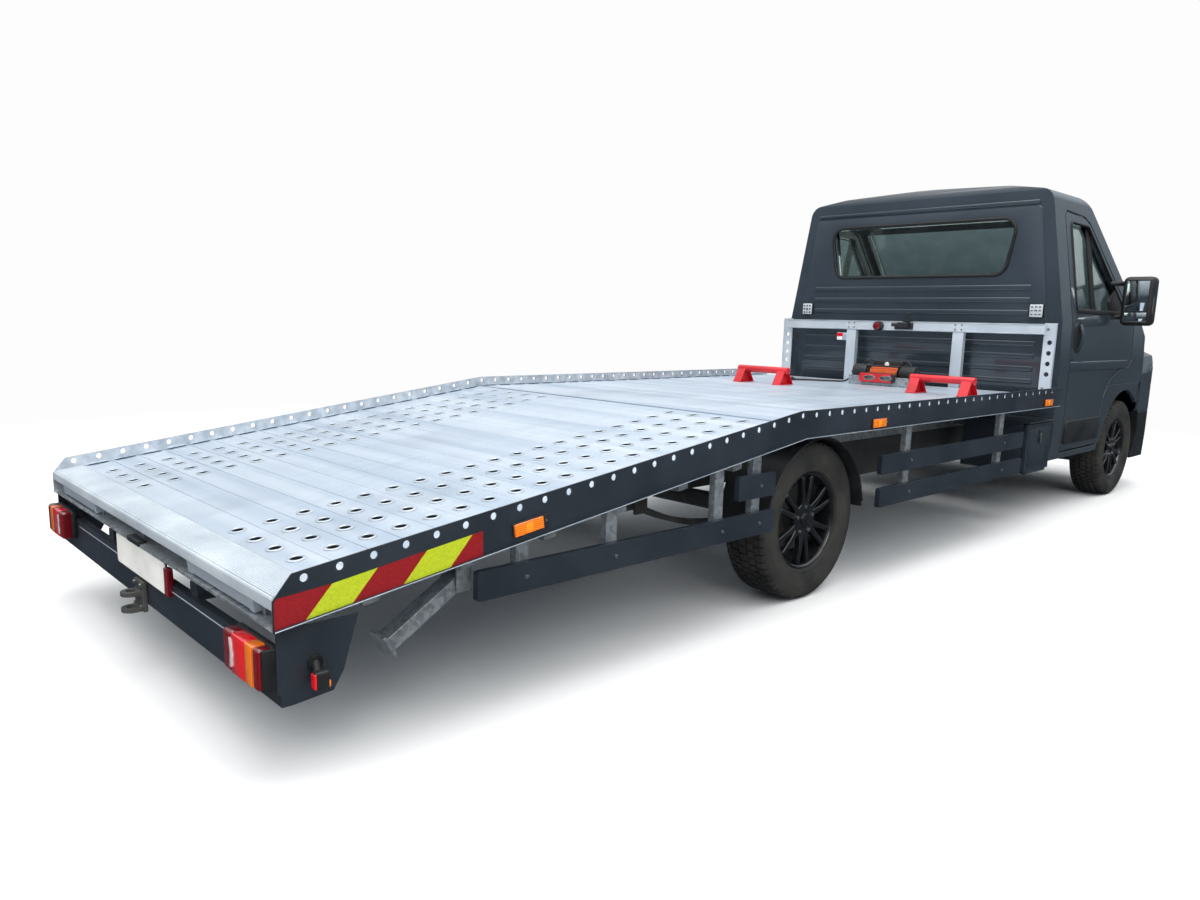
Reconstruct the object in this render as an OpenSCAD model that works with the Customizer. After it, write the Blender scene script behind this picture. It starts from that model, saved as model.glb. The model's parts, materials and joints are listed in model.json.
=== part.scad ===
// Car transporter truck: a chassis cab with a low fixed platform.
// The platform is level to a little behind the rear axle and then slopes down to the tail.
// The vehicle faces -Y, its left side is +X, and the origin is on the ground under the
// middle of its box.

/* [Overall] */
// Distance between the axles
wheelbase = 4035; // [3600:5:4500]
// From the front axle to the foremost point of the bumper
front_overhang = 948; // [900:2:1000]
// From the rear axle to the rearmost point of the tail
rear_overhang = 2525; // [2500:5:2800]
// Distance between the tyres' centre planes
track = 1790; // [1740:5:1830]

/* [Wheels] */
// Outside diameter of a tyre
tyre_d = 710; // [660:5:730]
// Width of a tyre
tyre_w = 215; // [195:5:225]
// Diameter of the rim at the tyre's beads
rim_d = 432; // [405:1:450]
// Spokes pairs on a rim
spoke_pairs = 6; // [4:1:8]
// Wheel bolts on a hub
wheel_bolts = 5; // [4:1:6]
// Diameter of the circle through the wheel bolts
bolt_circle_d = 118; // [108:1:130]
// Diameter of a wheel bolt hole
bolt_hole_d = 15; // [13:0.5:17]

/* [Platform] */
// Width over the side rails
bed_w = 2200; // [2100:10:2400]
// Front edge of the platform behind the front axle
bed_front_y = 1520; // [1480:10:1640]
// Where the slope starts, behind the rear axle
kink_behind_axle = 268; // [200:4:330]
// Fall of the sloping part in degrees
bed_slope = 7.55; // [6.5:0.05:8.5]
// Height of the side rails' top edge above the ground
rail_top_z = 865; // [860:5:900]
// Depth of a side rail along the level part
rail_depth = 110; // [100:2:120]
// Depth of a side rail at the tail
rail_depth_rear = 130; // [120:2:145]
// Thickness of the folded side rail
rail_t = 5; // [4:0.5:8]
// Diameter of the lashing holes in the side rails
lash_hole_d = 22; // [18:1:26]
// Spacing of the lashing holes
lash_pitch = 97.5; // [90:0.5:110]
// Thickness of the deck planks
deck_t = 25; // [20:1:30]
// Height of the side rails above the deck
rail_lip = 50; // [40:2:60]

/* [Ramps] */
// Width of one loading ramp
ramp_w = 480; // [400:10:500]
// Length of one loading ramp
ramp_l = 1750; // [1500:10:1800]
// Thickness of one loading ramp
ramp_t = 42; // [34:1:44]
// Distance between the middles of the two ramps
ramp_track = 1450; // [1440:5:1500]

/* [Cab] */
// Width of the cab
cab_w = 2040; // [1960:10:2080]
// Rear wall of the cab behind the front axle
cab_rear_y = 1360; // [1340:5:1400]
// Height of the roof
roof_z = 2150; // [2100:10:2300]
// Thickness of the doors and side walls
door_t = 60; // [45:1:70]
// Gap round a door
door_gap = 10; // [8:0.5:14]

/* [Equipment] */
// Width of the headboard rail
headboard_w = 1900; // [1700:10:1960]
// Height of the headboard rail's top edge
headboard_z = 1247; // [1180:5:1300]
// Length of a stabiliser leg from its pin to its foot
leg_l = 290; // [220:5:310]
// Diameter of a stabiliser leg's pin
leg_pin_d = 24; // [18:1:30]
// Diameter of the tow pin
tow_pin_d = 30; // [20:1:38]
// Diameter of the steering pins
king_pin_d = 30; // [24:1:36]

/* [Hidden] */
$fn = 48;

// Clearances
run_gap = 0.3;          // between a pin and its bore
seat = 0.3;             // between faces that rest on each other
slide_gap = 5;          // round a ramp in its slot
arch_r = tyre_d / 2 + 75;

// Places along the vehicle, measured rearwards from the front axle
front_axle_y = (front_overhang - rear_overhang - wheelbase) / 2;
kink_y = wheelbase + kink_behind_axle;
bed_rear_y = wheelbase + rear_overhang - 58;
axle_z = tyre_d / 2;
wheel_x = track / 2;

// Heights of the platform's layers, each below the top of the side rails
deck_top = rail_lip;
deck_under = deck_top + deck_t;
slot_h = ramp_t + 2 * slide_gap;
slot_floor = deck_under + slot_h;
cross_h = 40;

// Frame
frame_x = 400;          // inner face of a chassis rail
frame_w = 60;
frame_low_z = 440;
frame_h = 120;
cross_from_y = kink_y + 320;      // the slot for the ramps starts here

half_cab = cab_w / 2;
half_bed = bed_w / 2;
cab_floor_z = 380;      // lower edge of the sills
floor_z = frame_low_z + frame_h + 62;
hub_face = 60;          // the rims' mounting face, outwards from the tyre's middle
king_x = wheel_x - 60;
hinge_y = -50;          // front edge of the doors at the belt line
belt_z = 1180;

function rail_top(y) = y < kink_y ? rail_top_z : rail_top_z - (y - kink_y) * tan(bed_slope);
function arc(cx, cy, r, a0, a1, n = 6) =
    [for (i = [0:n]) [cx + r * cos(a0 + (a1 - a0) * i / n), cy + r * sin(a0 + (a1 - a0) * i / n)]];
function flip(points) = [for (i = [len(points) - 1:-1:0]) [-points[i][0], points[i][1]]];

// Everything below is drawn with y measured rearwards from the front axle.
module placed() { translate([0, front_axle_y, 0]) children(); }
module both_sides() { children(); mirror([1, 0, 0]) children(); }
// A side view of y and z points, drawn out along X from x0 to x1
module side_plate(x0, x1) {
    translate([x0, 0, 0]) rotate([90, 0, 90]) linear_extrude(x1 - x0) children();
}
// A front view of x and z points, drawn out along Y from y0 to y1
module front_plate(y0, y1) {
    translate([0, y1, 0]) rotate([90, 0, 0]) linear_extrude(y1 - y0) children();
}
module block(x0, x1, y0, y1, z0, z1) {
    translate([x0, y0, z0]) cube([x1 - x0, y1 - y0, z1 - z0]);
}
// A cylinder along X from x0 to x1 whose middle is at y and z
module rod(x0, x1, y, z, d, f = 48) {
    translate([x0, y, z]) rotate([0, 90, 0]) cylinder(d = d, h = x1 - x0, $fn = f);
}

// ---- Frame and axles ----

frame_end_y = bed_rear_y - 110;
rail_front_y = -front_overhang + 100;
function cross_under(y) = rail_top(y) - slot_floor - cross_h;

module frame_rail() {
    side_plate(frame_x, frame_x + frame_w) polygon([
        [rail_front_y, frame_low_z], [5000, frame_low_z], [frame_end_y, cross_under(frame_end_y) - 75],
        [frame_end_y, cross_under(frame_end_y)], [cross_from_y, cross_under(cross_from_y)],
        [cross_from_y, frame_low_z + frame_h], [rail_front_y, frame_low_z + frame_h]]);
}

spring_x = 515;
spring_w = 60;
spring_half = 650;
spring_eye_z = frame_low_z - 8;

module chassis_frame() {
    placed() color("#2b2f33") {
        both_sides() {
            frame_rail();
            // Spring hangers beside the rail
            for (s = [-1, 1]) translate([0, wheelbase + s * spring_half, 0])
                difference() {
                    block(frame_x + frame_w, spring_x + spring_w + 15, -35, 35,
                        spring_eye_z - 30, frame_low_z + 70);
                    block(spring_x - seat, spring_x + spring_w + seat, -50, 50,
                        spring_eye_z - 60, spring_eye_z + 45);
                }
        }
        for (y = [-640, 780, 1900, 3100, 5000, frame_end_y - 80])
            block(-frame_x, frame_x, y, y + 60, min(frame_low_z + 20, cross_under(y) - 60),
                min(frame_low_z + 90, cross_under(y) - 10));
    }
}

module steering_rings() {
    // Rings round the two ends of the steering pin
    for (z = [-130, 105]) translate([king_x, 0, axle_z + z]) cylinder(d = 62, h = 25);
}

module front_suspension() {
    placed() color("#3a3d40") {
        block(-frame_x - frame_w, frame_x + frame_w, -70, 70, 300, frame_low_z);
        both_sides() difference() {
            union() {
                steering_rings();
                // Lower arm and its mount
                block(frame_x, king_x, -28, 28, axle_z - 130, axle_z - 105);
                block(frame_x, frame_x + frame_w, -28, 28, axle_z - 130, 310);
                // Strut with its upper arm
                block(wheel_x - 210, king_x, -24, 24, axle_z + 105, axle_z + 130);
                translate([wheel_x - 185, 0, axle_z + 105]) cylinder(d = 50, h = 290);
                translate([wheel_x - 185, 0, axle_z + 240]) cylinder(d = 84, h = 140);
            }
            translate([king_x, 0, axle_z - 150])
                cylinder(d = king_pin_d + 2 * run_gap, h = 300);
        }
        // Braces that carry the struts on the frame rails
        both_sides() block(frame_x + frame_w, wheel_x - 200, -20, 20, frame_low_z + 60, frame_low_z + 90);
    }
}

module engine_block() {
    placed() color("#55585a") block(-370, 370, -570, -40, frame_low_z + seat, 832);
}

module knuckle(side) {
    placed() color("#6b6e70") mirror([side < 0 ? 1 : 0, 0, 0]) {
        // Steering pin with the upright between the rings
        translate([king_x, 0, axle_z - 128]) cylinder(d = king_pin_d, h = 256);
        translate([king_x, 0, axle_z - 100]) cylinder(d = 56, h = 200);
        // Hub and brake disc
        rod(king_x, wheel_x + hub_face - 20 - seat, 0, axle_z, 96);
        rod(wheel_x + hub_face - 20 - seat, wheel_x + hub_face - seat, 0, axle_z, 145);
        rod(wheel_x, wheel_x + 24, 0, axle_z, 290, 64);
        // Brake caliper and steering arm
        difference() {
            block(wheel_x - 22, wheel_x + 40, 95, 158, axle_z - 55, axle_z + 55);
            block(wheel_x - 2, wheel_x + 26, 90, 150, axle_z - 70, axle_z + 70);
        }
        block(wheel_x - 22, wheel_x - 2, -20, 110, axle_z - 20, axle_z + 20);
        block(king_x - 15, king_x + 15, 0, 150, axle_z - 60, axle_z - 40);
    }
}

module rear_axle() {
    placed() color("#2f3235") translate([0, wheelbase, 0]) {
        rod(-wheel_x - 10, wheel_x + 10, 0, axle_z, 84);
        both_sides() {
            rod(wheel_x, wheel_x + hub_face - seat, 0, axle_z, 145);
            rod(wheel_x - 15, wheel_x + 9, 0, axle_z, 290, 64);
            // Seat that rests on the spring
            block(spring_x, spring_x + spring_w, -55, 55, axle_z - 60, axle_z);
        }
    }
}

// Each spring is a flat arc under the axle, with rolled eyes at its ends
spring_sag = spring_eye_z - (axle_z - 60 - 12);
spring_r = (pow(spring_half, 2) + pow(spring_sag, 2)) / (2 * spring_sag);
spring_a = asin(spring_half / spring_r);
spring_centre_z = axle_z - 60 - 24 - 1.3 + spring_r;

module leaf_springs() {
    placed() color("#26282a") both_sides() translate([0, wheelbase, 0]) {
        side_plate(spring_x, spring_x + spring_w) polygon(concat(
            arc(0, spring_centre_z, spring_r, 270 - spring_a, 270 + spring_a, 24),
            arc(0, spring_centre_z, spring_r - 24, 270 + spring_a, 270 - spring_a, 24)));
        for (s = [-1, 1])
            rod(spring_x, spring_x + spring_w, s * spring_half, spring_eye_z + 3, 44);
    }
}

// ---- Wheels ----

module wheel_place(side, y) {
    placed() translate([side * wheel_x, y, axle_z])
        rotate([0, side * 90, 0]) children();
}

module tyre_shape() {
    // Section of the tyre with rounded shoulders and slightly bulging walls
    r = tyre_d / 2;
    h = tyre_w / 2;
    bead = rim_d / 2;
    rotate_extrude($fn = 96) polygon(concat(
        [[bead, -h + 26], [bead + 22, -h + 8]],
        arc(r - 40, -h + 40, 40, 250, 360 - 8, 6),
        arc(r - 40, h - 40, 40, 8, 110, 6),
        [[bead + 22, h - 8], [bead, h - 26], [bead - 6, h - 40], [bead - 6, -h + 40]]));
}

module rim_shape() {
    h = tyre_w / 2 - 26;
    bead = rim_d / 2;
    // Barrel
    rotate_extrude($fn = 96) polygon([
        [bead - 22, -h - 4], [bead, -h - 4], [bead, -h], [bead - 6, -h + 8], [bead - 6, h - 8],
        [bead, h], [bead, h + 4], [bead - 22, h + 4], [bead - 18, 0]]);
    // Face with its spokes in pairs
    translate([0, 0, hub_face]) difference() {
        linear_extrude(22) {
            circle(r = 82);
            difference() { circle(r = bead - 16); circle(r = bead - 34); }
            for (i = [0:spoke_pairs - 1]) rotate(i * 360 / spoke_pairs)
                for (a = [-9, 9]) rotate(a)
                    translate([60, -9]) square([bead - 86, 18]);
        }
        translate([0, 0, -1]) cylinder(d = 66, h = 30);
        for (i = [0:wheel_bolts - 1]) rotate(i * 360 / wheel_bolts)
            translate([bolt_circle_d / 2, 0, -1]) cylinder(d = bolt_hole_d, h = 30);
    }
}

module tyre(side, y) { color("#1c1c1d") wheel_place(side, y) tyre_shape(); }
module rim(side, y) { color("#25272a") wheel_place(side, y) rim_shape(); }

// ---- Cab ----

// Side view of the whole cab behind the bonnet, with the step over the front wheels
screen_rake = 1.21;     // rearward run of the windscreen for each unit of height
screen_foot = [-330, belt_z];
screen_top = [screen_foot[0] + (2010 - belt_z) * screen_rake * roof_z / 2150,
    2010 * roof_z / 2150];

module cab_side() {
    polygon(concat(
        [screen_foot, [-330, 840], [480, 840], [480, cab_floor_z]],
        [[cab_rear_y, cab_floor_z]],
        arc(cab_rear_y - 70, roof_z - 70, 70, 0, 90, 6),
        [[screen_top[0] + 420, roof_z]],
        [[screen_top[0] + 160, roof_z - 42]],
        [screen_top]));
}

// Front view of the cab: upright sides to the belt, then leaning in to the roof
cab_half_outline = concat(
    [[half_cab - 8, cab_floor_z], [half_cab, 620], [half_cab, 960],
        [half_cab - 12, belt_z + 80], [half_cab - 130, roof_z - 190]],
    arc(half_cab - 230, roof_z - 148, 92, 15, 75, 5),
    [[half_cab - 420, roof_z - 26], [0, roof_z]]);
module cab_front() { polygon(concat(cab_half_outline, flip(cab_half_outline))); }

module cab_solid(inset) {
    intersection() {
        side_plate(-half_cab, half_cab) offset(delta = -inset) cab_side();
        front_plate(-400, cab_rear_y + 10) offset(delta = -inset) cab_front();
    }
}

// The side walls' thickness t, from the sill up to the roof
module wall_zone(t) {
    difference() {
        front_plate(-400, cab_rear_y) cab_front();
        front_plate(-401, cab_rear_y + 1) offset(delta = -t) cab_front();
        block(-half_cab + t + 1, half_cab - t - 1, -401, cab_rear_y + 1, 0, 1000);
    }
}

// Side view of a door, and of the window in it
module door_side(grow) {
    offset(delta = grow) polygon([
        [520, cab_floor_z + 40], [520, 600], [470, 760], [370, 880], [220, 940], [hinge_y + 60, 960],
        [hinge_y, 1010], [hinge_y, belt_z + 90],
        [screen_top[0] + 60, screen_top[1] - 90], [screen_top[0] + 160, roof_z - 195],
        [cab_rear_y - 210, roof_z - 180], [cab_rear_y - 170, roof_z - 215],
        [cab_rear_y - 170, cab_floor_z + 40]]);
}
module window_side(grow) {
    offset(delta = grow) polygon([
        [hinge_y + 190, belt_z + 165], [cab_rear_y - 260, belt_z + 165],
        [cab_rear_y - 260, roof_z - 250], [screen_top[0] + 110, roof_z - 255]]);
}
module screen_side() {
    // Region of the windscreen seen from the side
    run = [screen_top[0] - screen_foot[0], screen_top[1] - screen_foot[1]];
    a = screen_foot + 0.07 * run;
    b = screen_foot + 0.95 * run;
    polygon([a + [-120, 100], a + [130, -107], b + [130, -107], b + [-120, 100]]);
}
module rear_window_outline(grow) {
    offset(delta = grow) polygon([
        [-600, roof_z - 580], [600, roof_z - 580], [665, roof_z - 245], [-665, roof_z - 245]]);
}

module cab_shell() {
    placed() color("#34383d") difference() {
        cab_solid(0);
        difference() {
            cab_solid(door_t);
            // The floor and the seat boxes on it
            block(-half_cab, half_cab, 480, cab_rear_y, cab_floor_z, floor_z);
            for (x = [[-780, 140], [340, 780]]) block(x[0], x[1], 680, 1150, cab_floor_z, 700 - seat);
        }
        // Room under the floor for the chassis rails
        block(-700, 700, 400, cab_rear_y + 1, cab_floor_z - 1, frame_low_z + frame_h + seat);
        both_sides() intersection() {
            side_plate(half_cab - 320, half_cab + 50) door_side(0);
            wall_zone(door_t + door_gap);
        }
        intersection() {
            side_plate(-half_cab, half_cab) screen_side();
            front_plate(-400, cab_rear_y) offset(delta = -95) cab_front();
        }
        front_plate(cab_rear_y - door_t - 20, cab_rear_y + 20) rear_window_outline(0);
    }
    // Sealing lips that the doors' rear edges close against
    placed() color("#34383d") both_sides() intersection() {
        block(half_cab - 330, half_cab, cab_rear_y - 260, cab_rear_y, cab_floor_z + 60, roof_z);
        union() {
            difference() {
                side_plate(half_cab - 330, half_cab) door_side(8);
                side_plate(half_cab - 331, half_cab + 1) door_side(0);
                wall_zone(door_t - 2);
            }
            difference() {
                side_plate(half_cab - 330, half_cab) door_side(1);
                side_plate(half_cab - 331, half_cab + 1) door_side(-24);
                wall_zone(door_t + seat);
            }
        }
        wall_zone(door_t + 12);
    }
}

module door(side) {
    placed() color("#34383d") mirror([side < 0 ? 1 : 0, 0, 0]) difference() {
        intersection() {
            wall_zone(door_t);
            side_plate(half_cab - 330, half_cab + 50) door_side(-door_gap);
        }
        side_plate(half_cab - 330, half_cab + 60) window_side(0);
    }
}

glass_t = 8;
module door_glass(side) {
    placed() color([0.25, 0.3, 0.32, 0.6]) mirror([side < 0 ? 1 : 0, 0, 0]) intersection() {
        difference() {
            wall_zone(26 + glass_t);
            wall_zone(26);
        }
        side_plate(half_cab - 330, half_cab + 60) window_side(-0.05);
    }
}

module windscreen() {
    color([0.25, 0.3, 0.32, 0.6]) intersection() {
        difference() { cab_solid(16); cab_solid(16 + glass_t); }
        side_plate(-half_cab, half_cab) screen_side();
        front_plate(-400, cab_rear_y) offset(delta = -95.05) cab_front();
    }
}

module rear_window() {
    color([0.25, 0.3, 0.32, 0.6])
        front_plate(cab_rear_y - 26, cab_rear_y - 26 + glass_t) rear_window_outline(-0.05);
}

module cab_glass() {
    placed() {
        windscreen();
        rear_window();
    }
}

mirror_y = 450;
module door_mirror(side) {
    placed() color("#17181a") mirror([side < 0 ? 1 : 0, 0, 0]) {
        // Housing with rounded corners, and its two arms
        translate([half_cab + 28, mirror_y, belt_z + 75]) rotate([90, 0, 0])
            linear_extrude(120) offset(r = 30) translate([30, 30]) square([134, 270]);
        for (z = [belt_z + 110, belt_z + 330]) block(
            half_cab - 12 - (z - belt_z - 80) * 0.16, half_cab + 60, mirror_y - 75, mirror_y - 45, z, z + 34);
    }
}

// ---- Nose ----

nose_r = 330;           // corner radius of the nose seen from above
nose_back_y = -335;
module nose_side() {
    polygon(concat(
        [[0, 240], [0, belt_z + 60], [nose_back_y, belt_z - 14], [-600, 1085], [-790, 1010]],
        arc(-front_overhang + 170, 880, 130, 80, 170, 6),
        [[-front_overhang + 10, 620], [-front_overhang, 500], [-front_overhang + 8, 330],
            [-front_overhang + 70, 240]]));
}
module nose_plan() {
    polygon(concat(
        [[half_cab, 100], [-half_cab, 100]],
        arc(-half_cab + nose_r, -front_overhang + nose_r + 70, nose_r, 180, 250, 8),
        [[0, -front_overhang]],
        arc(half_cab - nose_r, -front_overhang + nose_r + 70, nose_r, 290, 360, 8)));
}
module nose_front() {
    points = [[half_cab - 30, 240], [half_cab, 600], [half_cab, 900], [half_cab - 50, 1030],
        [half_cab - 180, belt_z - 60], [half_cab - 420, belt_z - 8], [0, belt_z]];
    polygon(concat(points, flip(points)));
}
module nose_solid(inset) {
    intersection() {
        side_plate(-half_cab, half_cab) offset(delta = -inset) nose_side();
        translate([0, 0, 200]) linear_extrude(1100) offset(delta = -inset) nose_plan();
        front_plate(-front_overhang - 10, 10) offset(delta = -inset) nose_front();
    }
}
module nose_shell(t) {
    difference() {
        nose_solid(0);
        nose_solid(t);
        // The back of the nose is open towards the engine
        block(-half_cab - 1, half_cab + 1, nose_back_y, 200, 200, 1400);
    }
}

panel_t = 34;
bonnet_half = 800;      // half width of the bonnet at its sides
bonnet_z = 975;         // lowest edge of the bonnet
bonnet_back_y = -362;
bonnet_hinge_y = -424;
bonnet_hinge_z = 1094;
bonnet_pin_d = 12;
lamp_z0 = 700;
lamp_x0 = 560;
bumper_z = 610;

module bonnet_zone(gap) {
    intersection() {
        block(-bonnet_half + gap, bonnet_half - gap, -front_overhang, bonnet_back_y, 900, 1300);
        side_plate(-half_cab, half_cab) polygon([
            [-front_overhang - 10, bonnet_z + gap], [-700, bonnet_z + gap],
            [-480, bonnet_z + 60 + gap], [0, bonnet_z + 100 + gap], [0, 1400],
            [-front_overhang - 10, 1400]]);
    }
}
module lamp_zone(gap) {
    both_sides() intersection() {
        block(lamp_x0 + gap, half_cab, -front_overhang, -560, lamp_z0 + gap, 960 - gap);
        front_plate(-front_overhang, -500) polygon([
            [lamp_x0 + gap, lamp_z0 + gap], [half_cab, lamp_z0 + 110], [half_cab, 960 - gap],
            [lamp_x0 + gap, 900 - gap]]);
    }
}
module grille_zone(gap) {
    block(-lamp_x0 + gap, lamp_x0 - gap, -front_overhang - 1, -700, bumper_z + gap, bonnet_z - 25 - gap);
}

module bonnet() {
    placed() color("#34383d") {
        intersection() {
            nose_shell(panel_t);
            bonnet_zone(6);
        }
        // Hinge ears and pins at the back
        both_sides() {
            block(742, 764, bonnet_hinge_y - 12, bonnet_hinge_y + 12, bonnet_hinge_z - 12, bonnet_hinge_z + 30);
            rod(742, 828, bonnet_hinge_y, bonnet_hinge_z, bonnet_pin_d, 32);
        }
    }
}

module bonnet_pin_holes() {
    both_sides() rod(bonnet_half - 10, 832, bonnet_hinge_y, bonnet_hinge_z, bonnet_pin_d + 2 * run_gap, 32);
}

module front_wings() {
    placed() color("#34383d") {
        difference() {
            nose_shell(panel_t);
            bonnet_zone(-1);
            lamp_zone(-0.1);
            grille_zone(-0.1);
            block(-half_cab, half_cab, -front_overhang - 10, 0, 200, bumper_z);
            rod(-half_cab - 10, half_cab + 10, 0, axle_z, 2 * arch_r, 72);
            // Room behind the bonnet for its back edge to swing through
            block(-bonnet_half - 1, bonnet_half + 1, bonnet_back_y - 1, 0, 200, 1300);
            bonnet_pin_holes();
        }
        // Plates that hold the bonnet's pins
        difference() {
            both_sides() block(bonnet_half, 846, bonnet_hinge_y - 15, bonnet_hinge_y + 15,
                bonnet_hinge_z - 14, bonnet_hinge_z + 10);
            bonnet_pin_holes();
        }
        // Skins behind the axle up to the doors
        both_sides() difference() {
            intersection() {
                side_plate(half_cab - panel_t, half_cab) polygon([
                    [-335, 700], [480 - run_gap, 420], [480 - run_gap, 840 - run_gap],
                    [-330 - run_gap, 840 - run_gap], [-330 - run_gap, 1100], [-335, 1100]]);
                front_plate(-400, 600) offset(delta = -2) cab_front();
            }
            rod(-half_cab - 10, half_cab + 10, 0, axle_z, 2 * arch_r, 72);
            side_plate(half_cab - 100, half_cab + 20) door_side(0);
        }
    }
}

module front_bumper() {
    placed() color("#1f2123") difference() {
        intersection() {
            nose_shell(60);
            block(-half_cab, half_cab, -front_overhang - 10, -300, 230, bumper_z - 0.3);
        }
        rod(-half_cab - 10, half_cab + 10, 0, axle_z, 2 * arch_r, 72);
        block(-lamp_x0 + 140, lamp_x0 - 140, -front_overhang - 10, -700, 400, 520);
        // Sockets for the ends of the chassis rails
        both_sides() block(frame_x - seat, frame_x + frame_w + seat, rail_front_y - seat, -300,
            frame_low_z - seat, frame_low_z + frame_h + seat);
    }
}

module grille() {
    placed() color("#101112") difference() {
        intersection() {
            nose_shell(50);
            grille_zone(0);
        }
        for (i = [0:4]) block(-lamp_x0 + 40, lamp_x0 - 40, -front_overhang - 10, -760,
            bumper_z + 50 + i * 52, bumper_z + 82 + i * 52);
    }
}

module headlamps() {
    placed() color("#b9c4cc") intersection() {
        difference() {
            nose_solid(0);
            nose_solid(90);
        }
        lamp_zone(0);
    }
}

// ---- Inside the cab ----

inner_floor_z = 840 + door_t;

steer_x = 480;
module column_place() { translate([steer_x, 350, belt_z - 40]) rotate([-62, 0, 0]) children(); }
module dashboard() {
    placed() color("#1b1c1e") difference() {
        dashboard_body();
        column_place() translate([0, 0, -400]) cylinder(d = 44 + 2 * run_gap, h = 390);
    }
}
module dashboard_body() {
    intersection() {
        side_plate(-half_cab + 100, half_cab - 100) polygon([
            [-200, inner_floor_z], [-200, belt_z - 20], [-150, belt_z + 10], [130, belt_z + 60],
            [230, belt_z + 20], [200, belt_z - 140], [60, inner_floor_z]]);
        cab_solid(door_t + seat);
    }
}

module steering_wheel() {
    placed() color("#151617") column_place() {
        rotate_extrude($fn = 64) translate([195, 0]) circle(d = 30, $fn = 20);
        cylinder(d = 110, h = 34, center = true);
        for (a = [0, 120, 240]) rotate(a + 90) translate([45, -14, -8]) cube([142, 28, 16]);
        translate([0, 0, -190]) cylinder(d = 44, h = 180);
    }
}

seat_w = 480;
module seat_at(x, w) {
    translate([x, 0, 0]) {
        block(-w / 2, w / 2, 640, 1130, 700, 830);
        side_plate(-w / 2, w / 2) polygon([[1010, 830], [1140, 830], [1262, 1420], [1180, 1440]]);
        side_plate(-w / 4, w / 4) polygon([[1190, 1430], [1262, 1420], [1276, 1600], [1216, 1605]]);
    }
}
module seats() {
    placed() color("#232427") {
        seat_at(560, seat_w);
        seat_at(-330, 2 * seat_w - 40);
    }
}

// ---- Platform ----

module bed_strip(y0, y1, below0, below1) {
    // Side view of a layer that follows the platform between two depths below the rail top
    polygon(concat(
        [[y0, rail_top(y0) - below0]],
        y0 < kink_y && y1 > kink_y ? [[kink_y, rail_top_z - below0]] : [],
        [[y1, rail_top(y1) - below0], [y1, rail_top(y1) - below1]],
        y0 < kink_y && y1 > kink_y ? [[kink_y, rail_top_z - below1]] : [],
        [[y0, rail_top(y0) - below1]]));
}

tread_y = bed_rear_y - 115;
module deck() {
    placed() color("#c9ccce") side_plate(-half_bed + rail_t, half_bed - rail_t)
        bed_strip(bed_front_y + 10, tread_y - seat, deck_top, deck_under);
}

module rear_tread_plate() {
    placed() color("#d3d5d6") side_plate(-half_bed + rail_t, half_bed - rail_t) {
        bed_strip(tread_y, bed_rear_y, deck_top - 3, deck_under - 3);
        bed_strip(bed_rear_y - 22, bed_rear_y, deck_under - 4, deck_under + 4);
    }
}

slope_holes = floor((bed_rear_y - kink_y - 60) / cos(bed_slope) / lash_pitch);
level_holes = floor((kink_y - bed_front_y - 80) / lash_pitch);
module lash_hole(y, z) { rod(half_bed - 3 * rail_t, half_bed + rail_t, y, z, lash_hole_d, 32); }

module side_rails() {
    rear_top = rail_top(bed_rear_y - 51);
    placed() color("#2d3138") both_sides() difference() {
        union() {
            side_plate(half_bed - rail_t, half_bed) polygon([
                [bed_front_y, rail_top_z], [kink_y, rail_top_z],
                [bed_rear_y - 51, rear_top], [bed_rear_y, rear_top - 62],
                [bed_rear_y, rail_top(bed_rear_y) - rail_depth_rear],
                [kink_y - 40, rail_top_z - rail_depth], [bed_front_y, rail_top_z - rail_depth]]);
            // Folded foot along the lower edge
            side_plate(half_bed - foot_w, half_bed + 6) polygon([
                [bed_front_y, rail_top_z - rail_depth], [kink_y - 40, rail_top_z - rail_depth],
                [bed_rear_y, rail_top(bed_rear_y) - rail_depth_rear],
                [bed_rear_y, rail_top(bed_rear_y) - rail_depth_rear - rail_t],
                [kink_y - 40, rail_top_z - rail_depth - rail_t],
                [bed_front_y, rail_top_z - rail_depth - rail_t]]);
        }
        for (i = [0:slope_holes]) let (s = i * lash_pitch - 10)
            lash_hole(kink_y + s * cos(bed_slope), rail_top_z - 20 - s * sin(bed_slope));
        for (i = [1:level_holes]) lash_hole(kink_y - 10 - i * lash_pitch, rail_top_z - 20);
    }
}

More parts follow.
